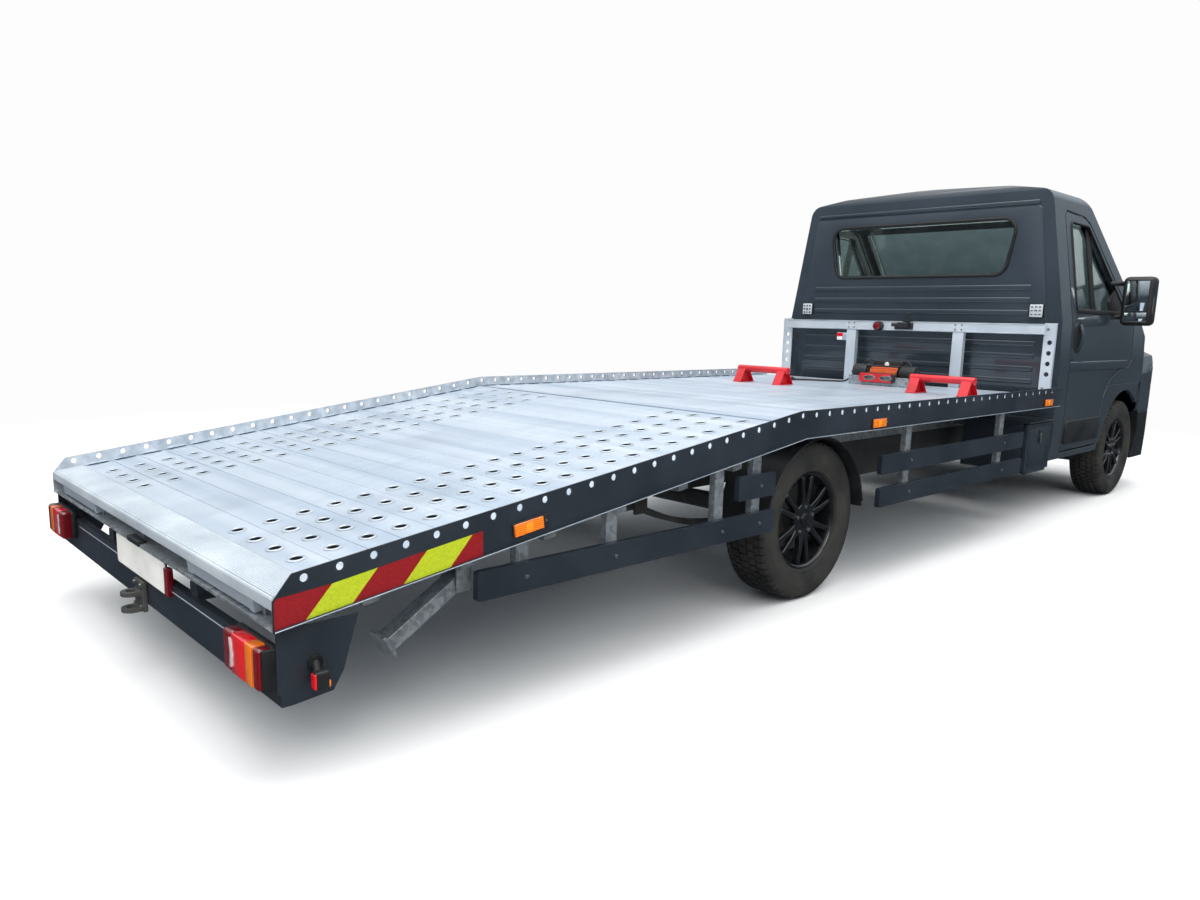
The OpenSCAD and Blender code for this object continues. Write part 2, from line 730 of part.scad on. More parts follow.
bearer_z0 = frame_low_z + frame_h;
level_cross_z = rail_top_z - deck_under - 50;
foot_w = 45;            // width of the side rails' folded foot
cross_half = half_bed - foot_w;
cross_pitch = 313;
slope_cross_ys = concat([for (i = [0:5]) cross_from_y + i * cross_pitch], [bed_rear_y - 90]);
module bed_frame() {
    placed() color("#8e9396") {
        // Bearers that stand on the chassis rails under the level part
        both_sides() side_plate(frame_x, frame_x + frame_w) polygon([
            [bed_front_y + 20, bearer_z0], [cross_from_y, bearer_z0],
            [cross_from_y, cross_under(cross_from_y)], [kink_y, level_cross_z + 10],
            [bed_front_y + 20, level_cross_z + 10]]);
        for (i = [0:6]) let (y = bed_front_y + 20 + i * 420)
            block(-cross_half, cross_half, y, y + 50, level_cross_z, rail_top_z - deck_under);
        // Cross members under the ramps' slots
        for (y = slope_cross_ys) side_plate(-cross_half, cross_half)
            bed_strip(y, y + 50, slot_floor, slot_floor + cross_h);
        // Guides on both sides of each slot
        both_sides() for (x = [ramp_track / 2 - ramp_w / 2 - slide_gap - 20,
                ramp_track / 2 + ramp_w / 2 + slide_gap])
            side_plate(x, x + 20) bed_strip(cross_from_y - 30, bed_rear_y - 28, deck_under, slot_floor + 10);
        side_plate(-12, 12) bed_strip(cross_from_y - 30, bed_rear_y - 28, deck_under, slot_floor + 10);
        // Closing member at the slots' inner end
        side_plate(-cross_half, cross_half)
            bed_strip(cross_from_y - 60, cross_from_y - 28, deck_under, slot_floor + 20);
        // Angle strip along the tail's lower edge
        side_plate(-cross_half, cross_half)
            bed_strip(bed_rear_y - 60, bed_rear_y - 1, slot_floor, slot_floor + 8);
        leg_brackets();
    }
}

module ramp(side) {
    // A ladder ramp lying in its slot
    y1 = bed_rear_y - 8;
    placed() color("#d8dadb")
        translate([side * ramp_track / 2, y1, rail_top(y1) - deck_under - slide_gap - ramp_t / 2])
        rotate([-bed_slope, 0, 0]) {
            for (x = [-ramp_w / 2, ramp_w / 2 - 30])
                translate([x, -ramp_l, -ramp_t / 2]) cube([30, ramp_l, ramp_t]);
            for (i = [0:13]) translate([-ramp_w / 2 + 15, -ramp_l + i * (ramp_l - 60) / 13, -ramp_t / 2 + 4])
                cube([ramp_w - 30, 60, ramp_t - 8]);
        }
}

// ---- Tail ----

bumper_bottom_z = 235;
tail_x = half_bed - 12;
bumper_top_z = rail_top(bed_rear_y) - rail_depth_rear - rail_t - seat;
module rear_bumper() {
    placed() color("#2b2f35") {
        // Cross beam
        block(-tail_x, tail_x, bed_rear_y - 50, bed_rear_y - 20, bumper_bottom_z, bumper_top_z - 75);
        // Side plates with a sloping front edge
        both_sides() side_plate(tail_x - 6, tail_x) polygon([
            [bed_rear_y - 10, bumper_top_z], [bed_rear_y - 10, bumper_bottom_z + 40],
            [bed_rear_y - 50, bumper_bottom_z], [bed_rear_y - 160, bumper_bottom_z + 10],
            [bed_rear_y - 190, bumper_bottom_z + 60], [bed_rear_y - 235, bumper_top_z]]);
        both_sides() block(frame_x, frame_x + frame_w, frame_end_y, bed_rear_y - 40,
            cross_under(frame_end_y) - 72, cross_under(frame_end_y) - 22);
    }
}

lamp_w = 230;
module tail_lamps() {
    placed() color("#b01818") both_sides()
        translate([tail_x - 10 - lamp_w, bed_rear_y - 20 + seat, bumper_bottom_z + 45])
        rotate([90, 0, 0]) mirror([0, 0, 1]) linear_extrude(56)
            offset(r = 14) translate([14, 14]) square([lamp_w - 28, 92]);
}

module number_plate() {
    placed() color("#e9e9e6") translate([-260, bed_rear_y - 20 + seat, bumper_bottom_z + 84])
        cube([520, 6, 110]);
}

module tow_hitch() {
    placed() color("#151617") difference() {
        union() {
            block(-45, 45, bed_rear_y - 20 + seat, bed_rear_y - 4, bumper_bottom_z - 25, bumper_bottom_z + 78);
            for (z = [bumper_bottom_z - 25, bumper_bottom_z + 30])
                block(-32, 32, bed_rear_y - 10, bed_rear_y + 20, z, z + 16);
            for (z = [bumper_bottom_z - 25, bumper_bottom_z + 30])
                translate([0, bed_rear_y + 20, z]) cylinder(d = 64, h = 16);
        }
        translate([0, bed_rear_y + 20, bumper_bottom_z - 60]) cylinder(d = tow_pin_d, h = 160);
    }
}

// ---- Sides ----

function foot_under(y) = y < kink_y - 40 ? rail_top_z - rail_depth - rail_t :
    rail_top_z - rail_depth - rail_t - (y - kink_y + 40) / (bed_rear_y - kink_y + 40)
        * (rail_top_z - rail_depth - rail_top(bed_rear_y) + rail_depth_rear);
guard_x = half_bed - 40;
guard_t = 25;
module guard_rail(y0, y1, z, h) {
    side_plate(guard_x, guard_x + guard_t) offset(r = 10)
        translate([y0 + 10, z + 10]) square([y1 - y0 - 20, h - 20]);
}
module guard_post(y, z0) {
    block(guard_x - 25, guard_x, y - 22, y + 22, z0, foot_under(y + 22) - seat);
}

front_guard_y0 = 1985;
front_guard_y1 = wheelbase - 430;
rear_guard_y0 = wheelbase + 400;
rear_guard_y1 = wheelbase + 1850;
module side_guards() {
    placed() color("#30343a") both_sides() {
        guard_rail(front_guard_y0, front_guard_y1, 375, 90);
        guard_rail(front_guard_y0, front_guard_y1, 530, 90);
        for (y = [2253, 3326]) guard_post(y, 385);
        guard_rail(rear_guard_y0, rear_guard_y1, 385, 92);
        guard_rail(rear_guard_y0, rear_guard_y0 + 235, 535, 95);
        for (y = [95, 325, 887, 1267]) guard_post(rear_guard_y0 + y, 395);
    }
}

guard_r = tyre_d / 2 + 14;
module mudguards() {
    placed() color("#1b1d20") both_sides() translate([0, wheelbase, 0]) intersection() {
        side_plate(wheel_x - tyre_w / 2 - 10, half_bed - 70) difference() {
            polygon(concat(arc(0, axle_z, guard_r + 5, 4, 176, 14), arc(0, axle_z, guard_r, 176, 4, 14)));
        }
        block(0, half_bed, -500, 500, 330, rail_top_z - rail_depth - rail_t - seat);
    }
    // Straps up to a cross member
    placed() color("#1b1d20") both_sides() block(wheel_x - 20, wheel_x + 20, wheelbase + 30, wheelbase + 70,
        axle_z + guard_r - 3, level_cross_z - seat);
}

box_y0 = 1425;
box_y1 = 1800;
box_z0 = 355;
box_z1 = 650;
box_x0 = 640;
box_x1 = half_bed - 65;
lid_t = 22;
hinge_x = box_x1 - lid_t / 2;
hinge_z = box_z0 - 12;
hinge_pin_d = 8;
module toolboxes() {
    placed() color("#3a3f46") both_sides() {
        difference() {
            block(box_x0, box_x1 - lid_t - 5, box_y0, box_y1, box_z0, box_z1);
            block(box_x0 + 12, box_x1, box_y0 + 12, box_y1 - 12, box_z0 + 12, box_z1 - 12);
        }
        // Overhanging rain cover
        block(box_x0, box_x1 + 12, box_y0 - 6, box_y1 + 6, box_z1, box_z1 + 8);
        // Hanger up to the platform
        block(box_x0 + 60, box_x0 + 120, box_y0 + 110, box_y1 - 80, box_z1 + 8, level_cross_z - seat);
        // Rolls of the door's hinge, on tabs under the box
        for (y = [box_y0 + 30, box_y1 - 70]) {
            block(box_x1 - lid_t - 30, hinge_x - 7, y, y + 40, hinge_z - 4, hinge_z + 4);
            block(box_x1 - lid_t - 30, box_x1 - lid_t - 22, y, y + 40, hinge_z - 4, box_z0 + 1);
            difference() {
                rod_y(hinge_x, y, y + 40, hinge_z, 16);
                rod_y(hinge_x, y - 1, y + 41, hinge_z, hinge_pin_d + 2 * run_gap);
            }
        }
    }
}
// A cylinder along Y
module rod_y(x, y0, y1, z, d, f = 24) {
    translate([x, y1, z]) rotate([90, 0, 0]) cylinder(d = d, h = y1 - y0, $fn = f);
}
module toolbox_door(side) {
    placed() color("#3f444c") mirror([side < 0 ? 1 : 0, 0, 0]) {
        block(box_x1 - lid_t, box_x1, box_y0, box_y1, box_z0 - 2, box_z1 - 6);
        // Lock
        translate([box_x1, (box_y0 + box_y1) / 2, box_z1 - 90]) rotate([0, 90, 0])
            cylinder(d = 60, h = 8);
        // Hinge pin, and the roll between those of the box
        rod_y(hinge_x, box_y0 + 24, box_y1 - 24, hinge_z, hinge_pin_d);
        rod_y(hinge_x, box_y0 + 78, box_y1 - 78, hinge_z, 14);
        block(hinge_x - 5, hinge_x + 5, box_y0 + 78, box_y1 - 78, hinge_z, box_z0 - 1);
    }
}

module fuel_tank() {
    placed() color("#1d1f21") block(-frame_x + seat, frame_x - seat, 2000, 2850, 330, frame_low_z + 100);
}

// Stabiliser legs fold up under the tail
leg_y = cross_from_y + 4 * cross_pitch + 25;
leg_z = 442;
leg_x = half_bed - 105;
leg_w = 60;
leg_fold = 31;          // angle of the folded leg below the horizontal
module leg_brackets() {
    both_sides() difference() {
        union() {
            for (x = [leg_x - leg_w / 2 - 13, leg_x + leg_w / 2 + 5])
                block(x, x + 8, leg_y - 25, leg_y + 25, leg_z - 30, cross_under(leg_y) + 8);
            block(leg_x - leg_w / 2 - 13, leg_x + leg_w / 2 + 13, leg_y - 25, leg_y + 25,
                leg_z + 45, cross_under(leg_y) + 8);
        }
        rod(leg_x - 100, leg_x + 100, leg_y, leg_z, leg_pin_d + 2 * run_gap);
    }
}
module stabiliser_leg(side) {
    placed() color("#a3a7aa") mirror([side < 0 ? 1 : 0, 0, 0])
        translate([leg_x, leg_y, leg_z]) {
            rod(-leg_w / 2 - 14, leg_w / 2 + 14, 0, 0, leg_pin_d);
            rotate([-leg_fold, 0, 0]) {
                difference() {
                    block(-leg_w / 2, leg_w / 2, -18, leg_l - 10, -22, 22);
                    block(-leg_w / 2 + 5, leg_w / 2 - 5, 40, leg_l, -40, 20);
                }
                block(-leg_w / 2 - 12, leg_w / 2 + 12, leg_l - 10, leg_l, -38, 38);
            }
        }
}

// ---- Headboard, winch and lamps ----

board_y = 1457;
module headboard() {
    placed() color("#c4c7c9") {
        block(-headboard_w / 2, headboard_w / 2, board_y - 20, board_y + 20, headboard_z - 65, headboard_z);
        for (x = [-400, 400]) block(x - 37, x + 37, board_y - 18, board_y + 18,
            rail_top_z - deck_under, headboard_z - 65);
        // Feet that tie the posts to the platform
        for (x = [-400, 400]) block(x - 37, x + 37, board_y - 18, bed_front_y + 20,
            rail_top_z - deck_under - 40, rail_top_z - deck_under);
        // End posts with their slots
        both_sides() difference() {
            block(headboard_w / 2 - 14, headboard_w / 2 + 60, board_y - 20, board_y - 12, rail_top_z - 60, headboard_z + 6);
            for (i = [0:3]) translate([headboard_w / 2 + 24, board_y, rail_top_z + 70 + i * 66]) rotate([90, 0, 0])
                cylinder(d = 30, h = 60, center = true);
        }
        both_sides() block(headboard_w / 2 + 20, headboard_w / 2 + 60, board_y - 20, bed_front_y + 20,
            rail_top_z - 110, rail_top_z - deck_under);
    }
}

winch_y = 1760;
module winch() {
    z = rail_top_z - deck_top;
    placed() translate([-50, winch_y, z]) {
        color("#c8cbcd") {
            block(-220, 220, -90, 90, 0, 8);
            block(-220, 220, 84, 92, 0, 60);
        }
        color("#1a1b1d") {
            rod(-225, -110, 0, 82, 110);
            rod(110, 225, 0, 82, 110);
            for (x = [-200, 130]) block(x, x + 70, -50, 50, 8, 60);
        }
        color("#e2571e") rod(-112, 112, 0, 82, 78);
        color("#b3161b") block(-130, 130, 92, 112, 22, 84);
    }
}

// A stop is a bar on two triangular feet
module wheel_stop(x, y, w) {
    z = rail_top_z - deck_top;
    for (s = [-1, 1]) side_plate(x + s * (w / 2 - 40) - 3, x + s * (w / 2 - 40) + 3)
        polygon([[y - 75, z], [y + 75, z], [y + 22, z + 90], [y - 22, z + 90]]);
    rod(x - w / 2, x + w / 2, y, z + 90, 46);
}
module wheel_stops() {
    placed() color("#c3121f") {
        wheel_stop(-660, 2190, 400);
        wheel_stop(470, 2430, 400);
    }
}

marker_ys = [1711, 3690, 5708];
module lamps() {
    placed() color("#e08a1e") both_sides() {
        for (y = marker_ys) let (z = rail_top(y) - 84)
            translate([half_bed, y, z]) rotate([y > kink_y ? -bed_slope : 0, 0, 0])
                block(0, 12, -60, 60, -20, 20);
        // Outline lamps on rubber arms at the tail
        translate([tail_x, bed_rear_y - 110, bumper_bottom_z + 45]) {
            block(0, 45, -14, 14, 40, 66);
            block(20, 45, -20, 20, -6, 45);
        }
        // Square work lamps on the cab's rear wall
        translate([850, cab_rear_y + seat, 1330]) block(-45, 45, 0, 30, -45, 45);
    }
}

chassis_frame();
front_suspension();
engine_block();
cab_shell();
front_wings();
front_bumper();
grille();
headlamps();
cab_glass();
dashboard();
steering_wheel();
seats();
bonnet();
door(1);  // door_left
door(-1);  // door_right
door_glass(1);  // door_glass_left
door_glass(-1);  // door_glass_right
door_mirror(1);  // mirror_left
door_mirror(-1);  // mirror_right
knuckle(1);  // knuckle_left
knuckle(-1);  // knuckle_right
rim(1, 0);  // rim_front_left
rim(-1, 0);  // rim_front_right
rim(1, wheelbase);  // rim_rear_left
rim(-1, wheelbase);  // rim_rear_right
tyre(1, 0);  // tyre_front_left
tyre(-1, 0);  // tyre_front_right
tyre(1, wheelbase);  // tyre_rear_left
tyre(-1, wheelbase);  // tyre_rear_right
rear_axle();
leaf_springs();
fuel_tank();
bed_frame();
side_rails();
deck();
rear_tread_plate();
rear_bumper();
tail_lamps();
number_plate();
tow_hitch();
side_guards();
mudguards();
toolboxes();
toolbox_door(1);  // toolbox_door_left
toolbox_door(-1);  // toolbox_door_right
headboard();
winch();
wheel_stops();
lamps();
stabiliser_leg(1);  // stabiliser_leg_left
stabiliser_leg(-1);  // stabiliser_leg_right
ramp(1);  // ramp_left
ramp(-1);  // ramp_right
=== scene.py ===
import math
import bpy
from mathutils import Matrix, Vector
from mathutils.bvhtree import BVHTree
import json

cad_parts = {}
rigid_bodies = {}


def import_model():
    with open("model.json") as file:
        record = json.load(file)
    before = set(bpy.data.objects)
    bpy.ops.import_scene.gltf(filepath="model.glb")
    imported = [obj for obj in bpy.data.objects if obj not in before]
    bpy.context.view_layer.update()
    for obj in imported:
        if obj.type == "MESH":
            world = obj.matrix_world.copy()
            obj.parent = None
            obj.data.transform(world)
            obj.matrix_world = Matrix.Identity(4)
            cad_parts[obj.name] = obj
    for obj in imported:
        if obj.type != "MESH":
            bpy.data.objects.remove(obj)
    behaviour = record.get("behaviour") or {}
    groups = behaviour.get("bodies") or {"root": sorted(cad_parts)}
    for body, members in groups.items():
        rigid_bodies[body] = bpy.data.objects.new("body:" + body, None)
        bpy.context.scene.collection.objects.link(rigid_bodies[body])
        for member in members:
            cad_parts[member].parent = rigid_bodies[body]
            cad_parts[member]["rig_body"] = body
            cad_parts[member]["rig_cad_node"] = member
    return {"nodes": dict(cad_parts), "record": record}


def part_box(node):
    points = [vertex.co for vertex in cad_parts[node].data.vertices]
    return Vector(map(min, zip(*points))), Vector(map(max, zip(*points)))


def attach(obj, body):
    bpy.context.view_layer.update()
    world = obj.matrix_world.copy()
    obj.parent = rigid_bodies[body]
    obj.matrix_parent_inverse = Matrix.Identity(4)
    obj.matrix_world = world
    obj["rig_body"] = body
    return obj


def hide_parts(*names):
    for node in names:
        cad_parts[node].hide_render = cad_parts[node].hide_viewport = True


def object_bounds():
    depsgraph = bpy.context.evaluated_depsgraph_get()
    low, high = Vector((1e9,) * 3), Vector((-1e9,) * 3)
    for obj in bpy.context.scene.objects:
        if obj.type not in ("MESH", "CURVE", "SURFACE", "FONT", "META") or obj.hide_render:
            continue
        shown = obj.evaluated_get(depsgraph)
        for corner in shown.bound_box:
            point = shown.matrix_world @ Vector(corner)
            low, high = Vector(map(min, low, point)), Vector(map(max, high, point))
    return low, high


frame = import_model()
cad_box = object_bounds()

# ---- Camera, floor and light ----
# A pale studio floor with a soft overhead sky and two large soft lamps; the camera
# stands low behind the right rear corner of the truck.
yaw, pitch, roll = 0.8186, -0.1687, 0.0241
forward = Vector((math.sin(yaw) * math.cos(pitch), -math.cos(yaw) * math.cos(pitch),
    math.sin(pitch)))
level = forward.cross(Vector((0, 0, 1))).normalized()
upright = level.cross(forward)
right = math.cos(roll) * level + math.sin(roll) * upright
up = math.cos(roll) * upright - math.sin(roll) * level
camera = bpy.data.objects.new("camera", bpy.data.cameras.new("camera"))
bpy.context.scene.collection.objects.link(camera)
camera.matrix_world = Matrix.Translation((-3.1148, 4.5359, 1.2099)) @ Matrix((right, up,
    -forward)).transposed().to_4x4()
camera.data.sensor_width = 36
camera.data.lens = 26.506
camera.data.shift_x = 0.00696
camera.data.shift_y = 0.01647
camera.data.clip_end = 300
bpy.context.scene.camera = camera
bpy.context.scene.view_settings.view_transform = "Standard"


def linear(colour):
    """The linear colour of an sRGB hex value such as #3a424a."""
    parts = [int(colour[i:i + 2], 16) / 255 for i in (1, 3, 5)]
    return tuple(p / 12.92 if p <= 0.04045 else ((p + 0.055) / 1.055) ** 2.4
        for p in parts) + (1.0,)


def add(tree, kind, inputs=None, stops=None, **settings):
    """Adds a shader node with its settings, its ramp stops, and its inputs as values or links."""
    made = tree.nodes.new("ShaderNode" + kind)
    for key, value in settings.items():
        setattr(made, key, value)
    for i, (place, colour) in enumerate(stops or ()):
        elements = made.color_ramp.elements
        stop = elements[i] if i < 2 else elements.new(place)
        stop.position = place
        stop.color = linear(colour) if isinstance(colour, str) else (colour, colour, colour, 1)
    for key, value in (inputs or {}).items():
        if isinstance(value, bpy.types.NodeSocket):
            tree.links.new(value, made.inputs[key])
        else:
            made.inputs[key].default_value = value
    return made


world = bpy.data.worlds.new("studio sky")
bpy.context.scene.world = world
world.use_nodes = True
sky = world.node_tree
sky.nodes.clear()
sky_way = add(sky, "SeparateXYZ", {0: add(sky, "TexCoord").outputs["Generated"]})
# Pale overhead and duller at eye level, as under a thin overcast, so that gloss has something to mirror
sky_shade = add(sky, "ValToRGB", {0: sky_way.outputs["Z"]}, stops=[(0.0, "#3c4248"),
    (0.9, "#ffffff"), (0.08, "#6a7279"), (0.35, "#b4bcc4"), (0.6, "#eef2f6")])
sky_glow = add(sky, "Background", {"Color": sky_shade.outputs[0], "Strength": 1.15})
add(sky, "OutputWorld", {"Surface": sky_glow.outputs[0]})

for name, place, size, power, aim in [
        ("overhead lamp", (-1.5, 1.5, 9.0), 9.0, 760, (0, 0.3, 0.8)),
        ("key lamp", (-7.5, 6.0, 6.5), 5.0, 260, (0, 0.5, 0.8)),
        ("rear lamp", (5.5, 8.5, 6.0), 6.0, 180, (0, 1.0, 0.8)),
        ("front lamp", (-2.0, -10.0, 5.5), 6.0, 240, (0, -2.0, 1.0))]:
    lamp = bpy.data.objects.new(name, bpy.data.lights.new(name, "AREA"))
    bpy.context.scene.collection.objects.link(lamp)
    lamp.location = place
    lamp.rotation_euler = (Vector(aim) - Vector(place)).to_track_quat("-Z", "Y").to_euler()
    lamp.data.size = size
    lamp.data.energy = power
    lamp.visible_glossy = name == "overhead lamp" or name == "key lamp"

bpy.ops.object.select_all(action="DESELECT")
bpy.ops.mesh.primitive_plane_add(size=160, location=(0, 0, 0))
floor = bpy.context.object
floor.name = "studio_floor"
floor_finish = bpy.data.materials.new("matt floor paint")
floor_finish.use_nodes = True
floor_finish.node_tree.nodes["Principled BSDF"].inputs["Base Color"].default_value = linear("#f4f4f3")
floor_finish.node_tree.nodes["Principled BSDF"].inputs["Roughness"].default_value = 0.85
# Far from the truck the floor melts into the backdrop, so no horizon shows
floor_tree = floor_finish.node_tree
floor_place = add(floor_tree, "TexCoord")
floor_reach = add(floor_tree, "VectorMath", {0: floor_place.outputs["Object"]}, operation="LENGTH")
floor_share = add(floor_tree, "MapRange", {"Value": floor_reach.outputs["Value"], "From Min": 4.2,
    "From Max": 8.5}, interpolation_type="SMOOTHSTEP")
floor_glow = add(floor_tree, "Emission", {"Color": linear("#fdfdfd"), "Strength": 1.0})
floor_blend = add(floor_tree, "MixShader", {0: floor_share.outputs[0],
    1: floor_tree.nodes["Principled BSDF"].outputs[0], 2: floor_glow.outputs[0]})
floor_tree.links.new(floor_blend.outputs[0], floor_tree.nodes["Material Output"].inputs["Surface"])
floor.data.materials.append(floor_finish)
floor.visible_glossy = False
bpy.ops.object.select_all(action="DESELECT")
bpy.ops.mesh.primitive_cylinder_add(vertices=64, radius=70, depth=120, location=(0, 0, 40))
backdrop = bpy.context.object
backdrop.name = "studio_backdrop"
backdrop.visible_glossy = backdrop.visible_diffuse = backdrop.visible_shadow = backdrop.visible_transmission = False
backdrop_finish = bpy.data.materials.new("pale paper backdrop")
backdrop_finish.use_nodes = True
backdrop_finish.node_tree.nodes.clear()
backdrop_light = add(backdrop_finish.node_tree, "Emission", {"Color": linear("#fdfdfd"),
    "Strength": 1.0})
add(backdrop_finish.node_tree, "OutputMaterial", {"Surface": backdrop_light.outputs[0]})
backdrop.data.materials.append(backdrop_finish)

# ---- Chassis frame, suspension and axle ----
# Two pressed-steel channels with cross members carry the engine, the springs and the cab.
# Everything below the floor is dipped in a satin black primer that collects road dust.


def surface(name, colour, roughness, metallic=0.0, **sockets):
    """A material and its shader, with what is the same all over set on the shader's own sockets."""
    made = bpy.data.materials.new(name)
    made.use_nodes = True
    shader = made.node_tree.nodes["Principled BSDF"]
    shader.inputs["Base Color"].default_value = linear(colour)
    shader.inputs["Roughness"].default_value = roughness
    shader.inputs["Metallic"].default_value = metallic
    for key, value in sockets.items():
        shader.inputs[key.replace("_", " ")].default_value = value
    return made, shader


def place_on(tree, stretch=(1, 1, 1), turn=(0, 0, 0)):
    """Object coordinates in metres, stretched and turned for a pattern."""
    where = add(tree, "TexCoord")
    return add(tree, "Mapping", {"Vector": where.outputs["Object"], "Scale": stretch,
        "Rotation": turn}).outputs[0]


def clouded(made, shader, colours, cloud, grain, depth, rough, stretch=(1, 1, 1),
        cover=(0.35, 0.65)):
    """Two tones in soft clouds of one size, and a fine grain of another that dents and dulls the surface. Sizes in metres."""
    tree = made.node_tree
    where = place_on(tree, stretch)
    patch = add(tree, "TexNoise", {"Vector": where, "Scale": 1 / cloud, "Detail": 5.0,
        "Roughness": 0.6})
    tone = add(tree, "ValToRGB", {0: patch.outputs[0]}, stops=[(cover[0], colours[0]),
        (cover[1], colours[1])])
    tree.links.new(tone.outputs[0], shader.inputs["Base Color"])
    fine = add(tree, "TexNoise", {"Vector": where, "Scale": 1 / grain, "Detail": 3.0})
    dull = add(tree, "MapRange", {0: patch.outputs[0], 1: 0.3, 2: 0.7, 3: rough[0], 4: rough[1]})
    tree.links.new(dull.outputs[0], shader.inputs["Roughness"])
    dent = add(tree, "Bump", {"Height": fine.outputs[0], "Strength": 0.35, "Distance": depth})
    tree.links.new(dent.outputs[0], shader.inputs["Normal"])
    return tone, dent, where


def dusted(made, shader, tone, top, dust="#7d7871", amount=0.5):
    """Road dust that thins out from the ground up to a height, in patches 90 mm across."""
    tree = made.node_tree
    height = add(tree, "SeparateXYZ", {0: place_on(tree)}).outputs["Z"]
    fade = add(tree, "MapRange", {0: height, 1: top, 2: 0.15, 3: 0.0, 4: amount})
    patch = add(tree, "TexNoise", {"Vector": place_on(tree), "Scale": 11.0, "Detail": 6.0,
        "Roughness": 0.65})
    share = add(tree, "Math", {0: fade.outputs[0], 1: patch.outputs[0]}, operation="MULTIPLY")
    mixed = add(tree, "Mix", {0: share.outputs[0], 6: tone.outputs[0], 7: linear(dust)},
        data_type="RGBA")
    tree.links.new(mixed.outputs[2], shader.inputs["Base Color"])


def wear(node, finish):
    """Gives a CAD node a finish in every slot it has."""
    target = frame["nodes"][node]
    if not target.material_slots:
        target.data.materials.append(finish)
    for held in target.material_slots:
        held.material = finish


# Electro-dipped steel primer: satin, near black, brushed pale by dust low down
primer, primer_shader = surface("dipped black primer on steel", "#1d2023", 0.5)
primer_tone, _, _ = clouded(primer, primer_shader, ("#191b1e", "#25292c"), 0.18, 0.004, 0.0006,
    (0.42, 0.62))
dusted(primer, primer_shader, primer_tone, 0.75)
# Cast iron and forged hubs: rough brown-grey with a sandy skin
casting, casting_shader = surface("sand-cast iron", "#3c3a38", 0.6, 0.6)
clouded(casting, casting_shader, ("#2c2b2a", "#57504a"), 0.03, 0.003, 0.0012, (0.45, 0.75))
for node in ("chassis_frame", "front_suspension", "rear_axle", "leaf_springs"):
    wear(node, primer)
for node in ("engine_block", "knuckle_left", "knuckle_right"):
    wear(node, casting)

# ---- Platform frame ----
# Hot-dip galvanised bearers, cross members and ramp guides bolted on the chassis rails.
# The zinc freezes in grey spangles the size of a thumbnail.
zinc, zinc_shader = surface("hot-dip galvanised steel", "#9aa1a6", 0.45, 0.7)
zinc_tree = zinc.node_tree
zinc_where = place_on(zinc_tree)
spangle = add(zinc_tree, "TexVoronoi", {"Vector": zinc_where, "Scale": 1 / 0.014})
zinc_tone = add(zinc_tree, "ValToRGB", {0: spangle.outputs["Color"]}, stops=[(0.1, "#858c91"),
    (0.9, "#b4babe")])
zinc_cloud = add(zinc_tree, "TexNoise", {"Vector": zinc_where, "Scale": 7.0, "Detail": 5.0})
zinc_stain = add(zinc_tree, "MapRange", {0: zinc_cloud.outputs[0], 1: 0.5, 2: 0.8, 3: 0.0, 4: 0.5})
zinc_mix = add(zinc_tree, "Mix", {0: zinc_stain.outputs[0], 6: zinc_tone.outputs[0],
    7: linear("#73736f")}, data_type="RGBA")
zinc_tree.links.new(zinc_mix.outputs[2], zinc_shader.inputs["Base Color"])
zinc_dull = add(zinc_tree, "MapRange", {0: spangle.outputs["Color"], 3: 0.36, 4: 0.58})
zinc_tree.links.new(zinc_dull.outputs[0], zinc_shader.inputs["Roughness"])
zinc_dent = add(zinc_tree, "Bump", {"Height": zinc_cloud.outputs[0], "Strength": 0.3,
    "Distance": 0.002})
zinc_tree.links.new(zinc_dent.outputs[0], zinc_shader.inputs["Normal"])
wear("bed_frame", zinc)

# ---- Deck ----
# Extruded aluminium planks 109.5 mm wide lie across the platform, edge to edge. The planks of
# the slope have round grip holes whose rims are pressed up, four in a row on each wheel track.
FRONT_AXLE = -2.806      # the drawings measure y rearwards from the front axle
KINK = 4.303
SLOPE = math.radians(7.55)
DECK_TOP = 0.815
PLANK = 0.1095


def spot(x, run, rise=0.0):
    """A point on the deck: run metres behind the kink along the surface, negative on the level part."""
    if run <= 0:
        return Vector((x, FRONT_AXLE + KINK + run, DECK_TOP + rise))
    return Vector((x, FRONT_AXLE + KINK + run * math.cos(SLOPE) + rise * math.sin(SLOPE),
                   DECK_TOP - run * math.sin(SLOPE) + rise * math.cos(SLOPE)))


def clear():
    """Back to object mode with nothing selected."""
    if bpy.context.object and bpy.context.object.mode != "OBJECT":
        bpy.ops.object.mode_set(mode="OBJECT")
    bpy.ops.object.select_all(action="DESELECT")


def take(piece):
    clear()
    piece.select_set(True)
    bpy.context.view_layer.objects.active = piece


def pick(piece, test, kind="FACE"):
    """Opens edit mode with only the faces, edges or corners whose place passes the test."""
    take(piece)
    bpy.ops.object.mode_set(mode="EDIT")
    bpy.ops.mesh.select_mode(type=kind)
    bpy.ops.mesh.select_all(action="DESELECT")
    bpy.ops.object.mode_set(mode="OBJECT")
    mesh = piece.data
    if kind == "FACE":
        for f in mesh.polygons:
            f.select = test(f.center, f.normal)
    elif kind == "EDGE":
        for e in mesh.edges:
            e.select = test(mesh.vertices[e.vertices[0]].co, mesh.vertices[e.vertices[1]].co)
    else:
        for v in mesh.vertices:
            v.select = test(v.co)
    bpy.ops.object.mode_set(mode="EDIT")


def smooth(piece, angle=35):
    take(piece)
    bpy.ops.object.shade_smooth_by_angle(angle=math.radians(angle))
    return piece


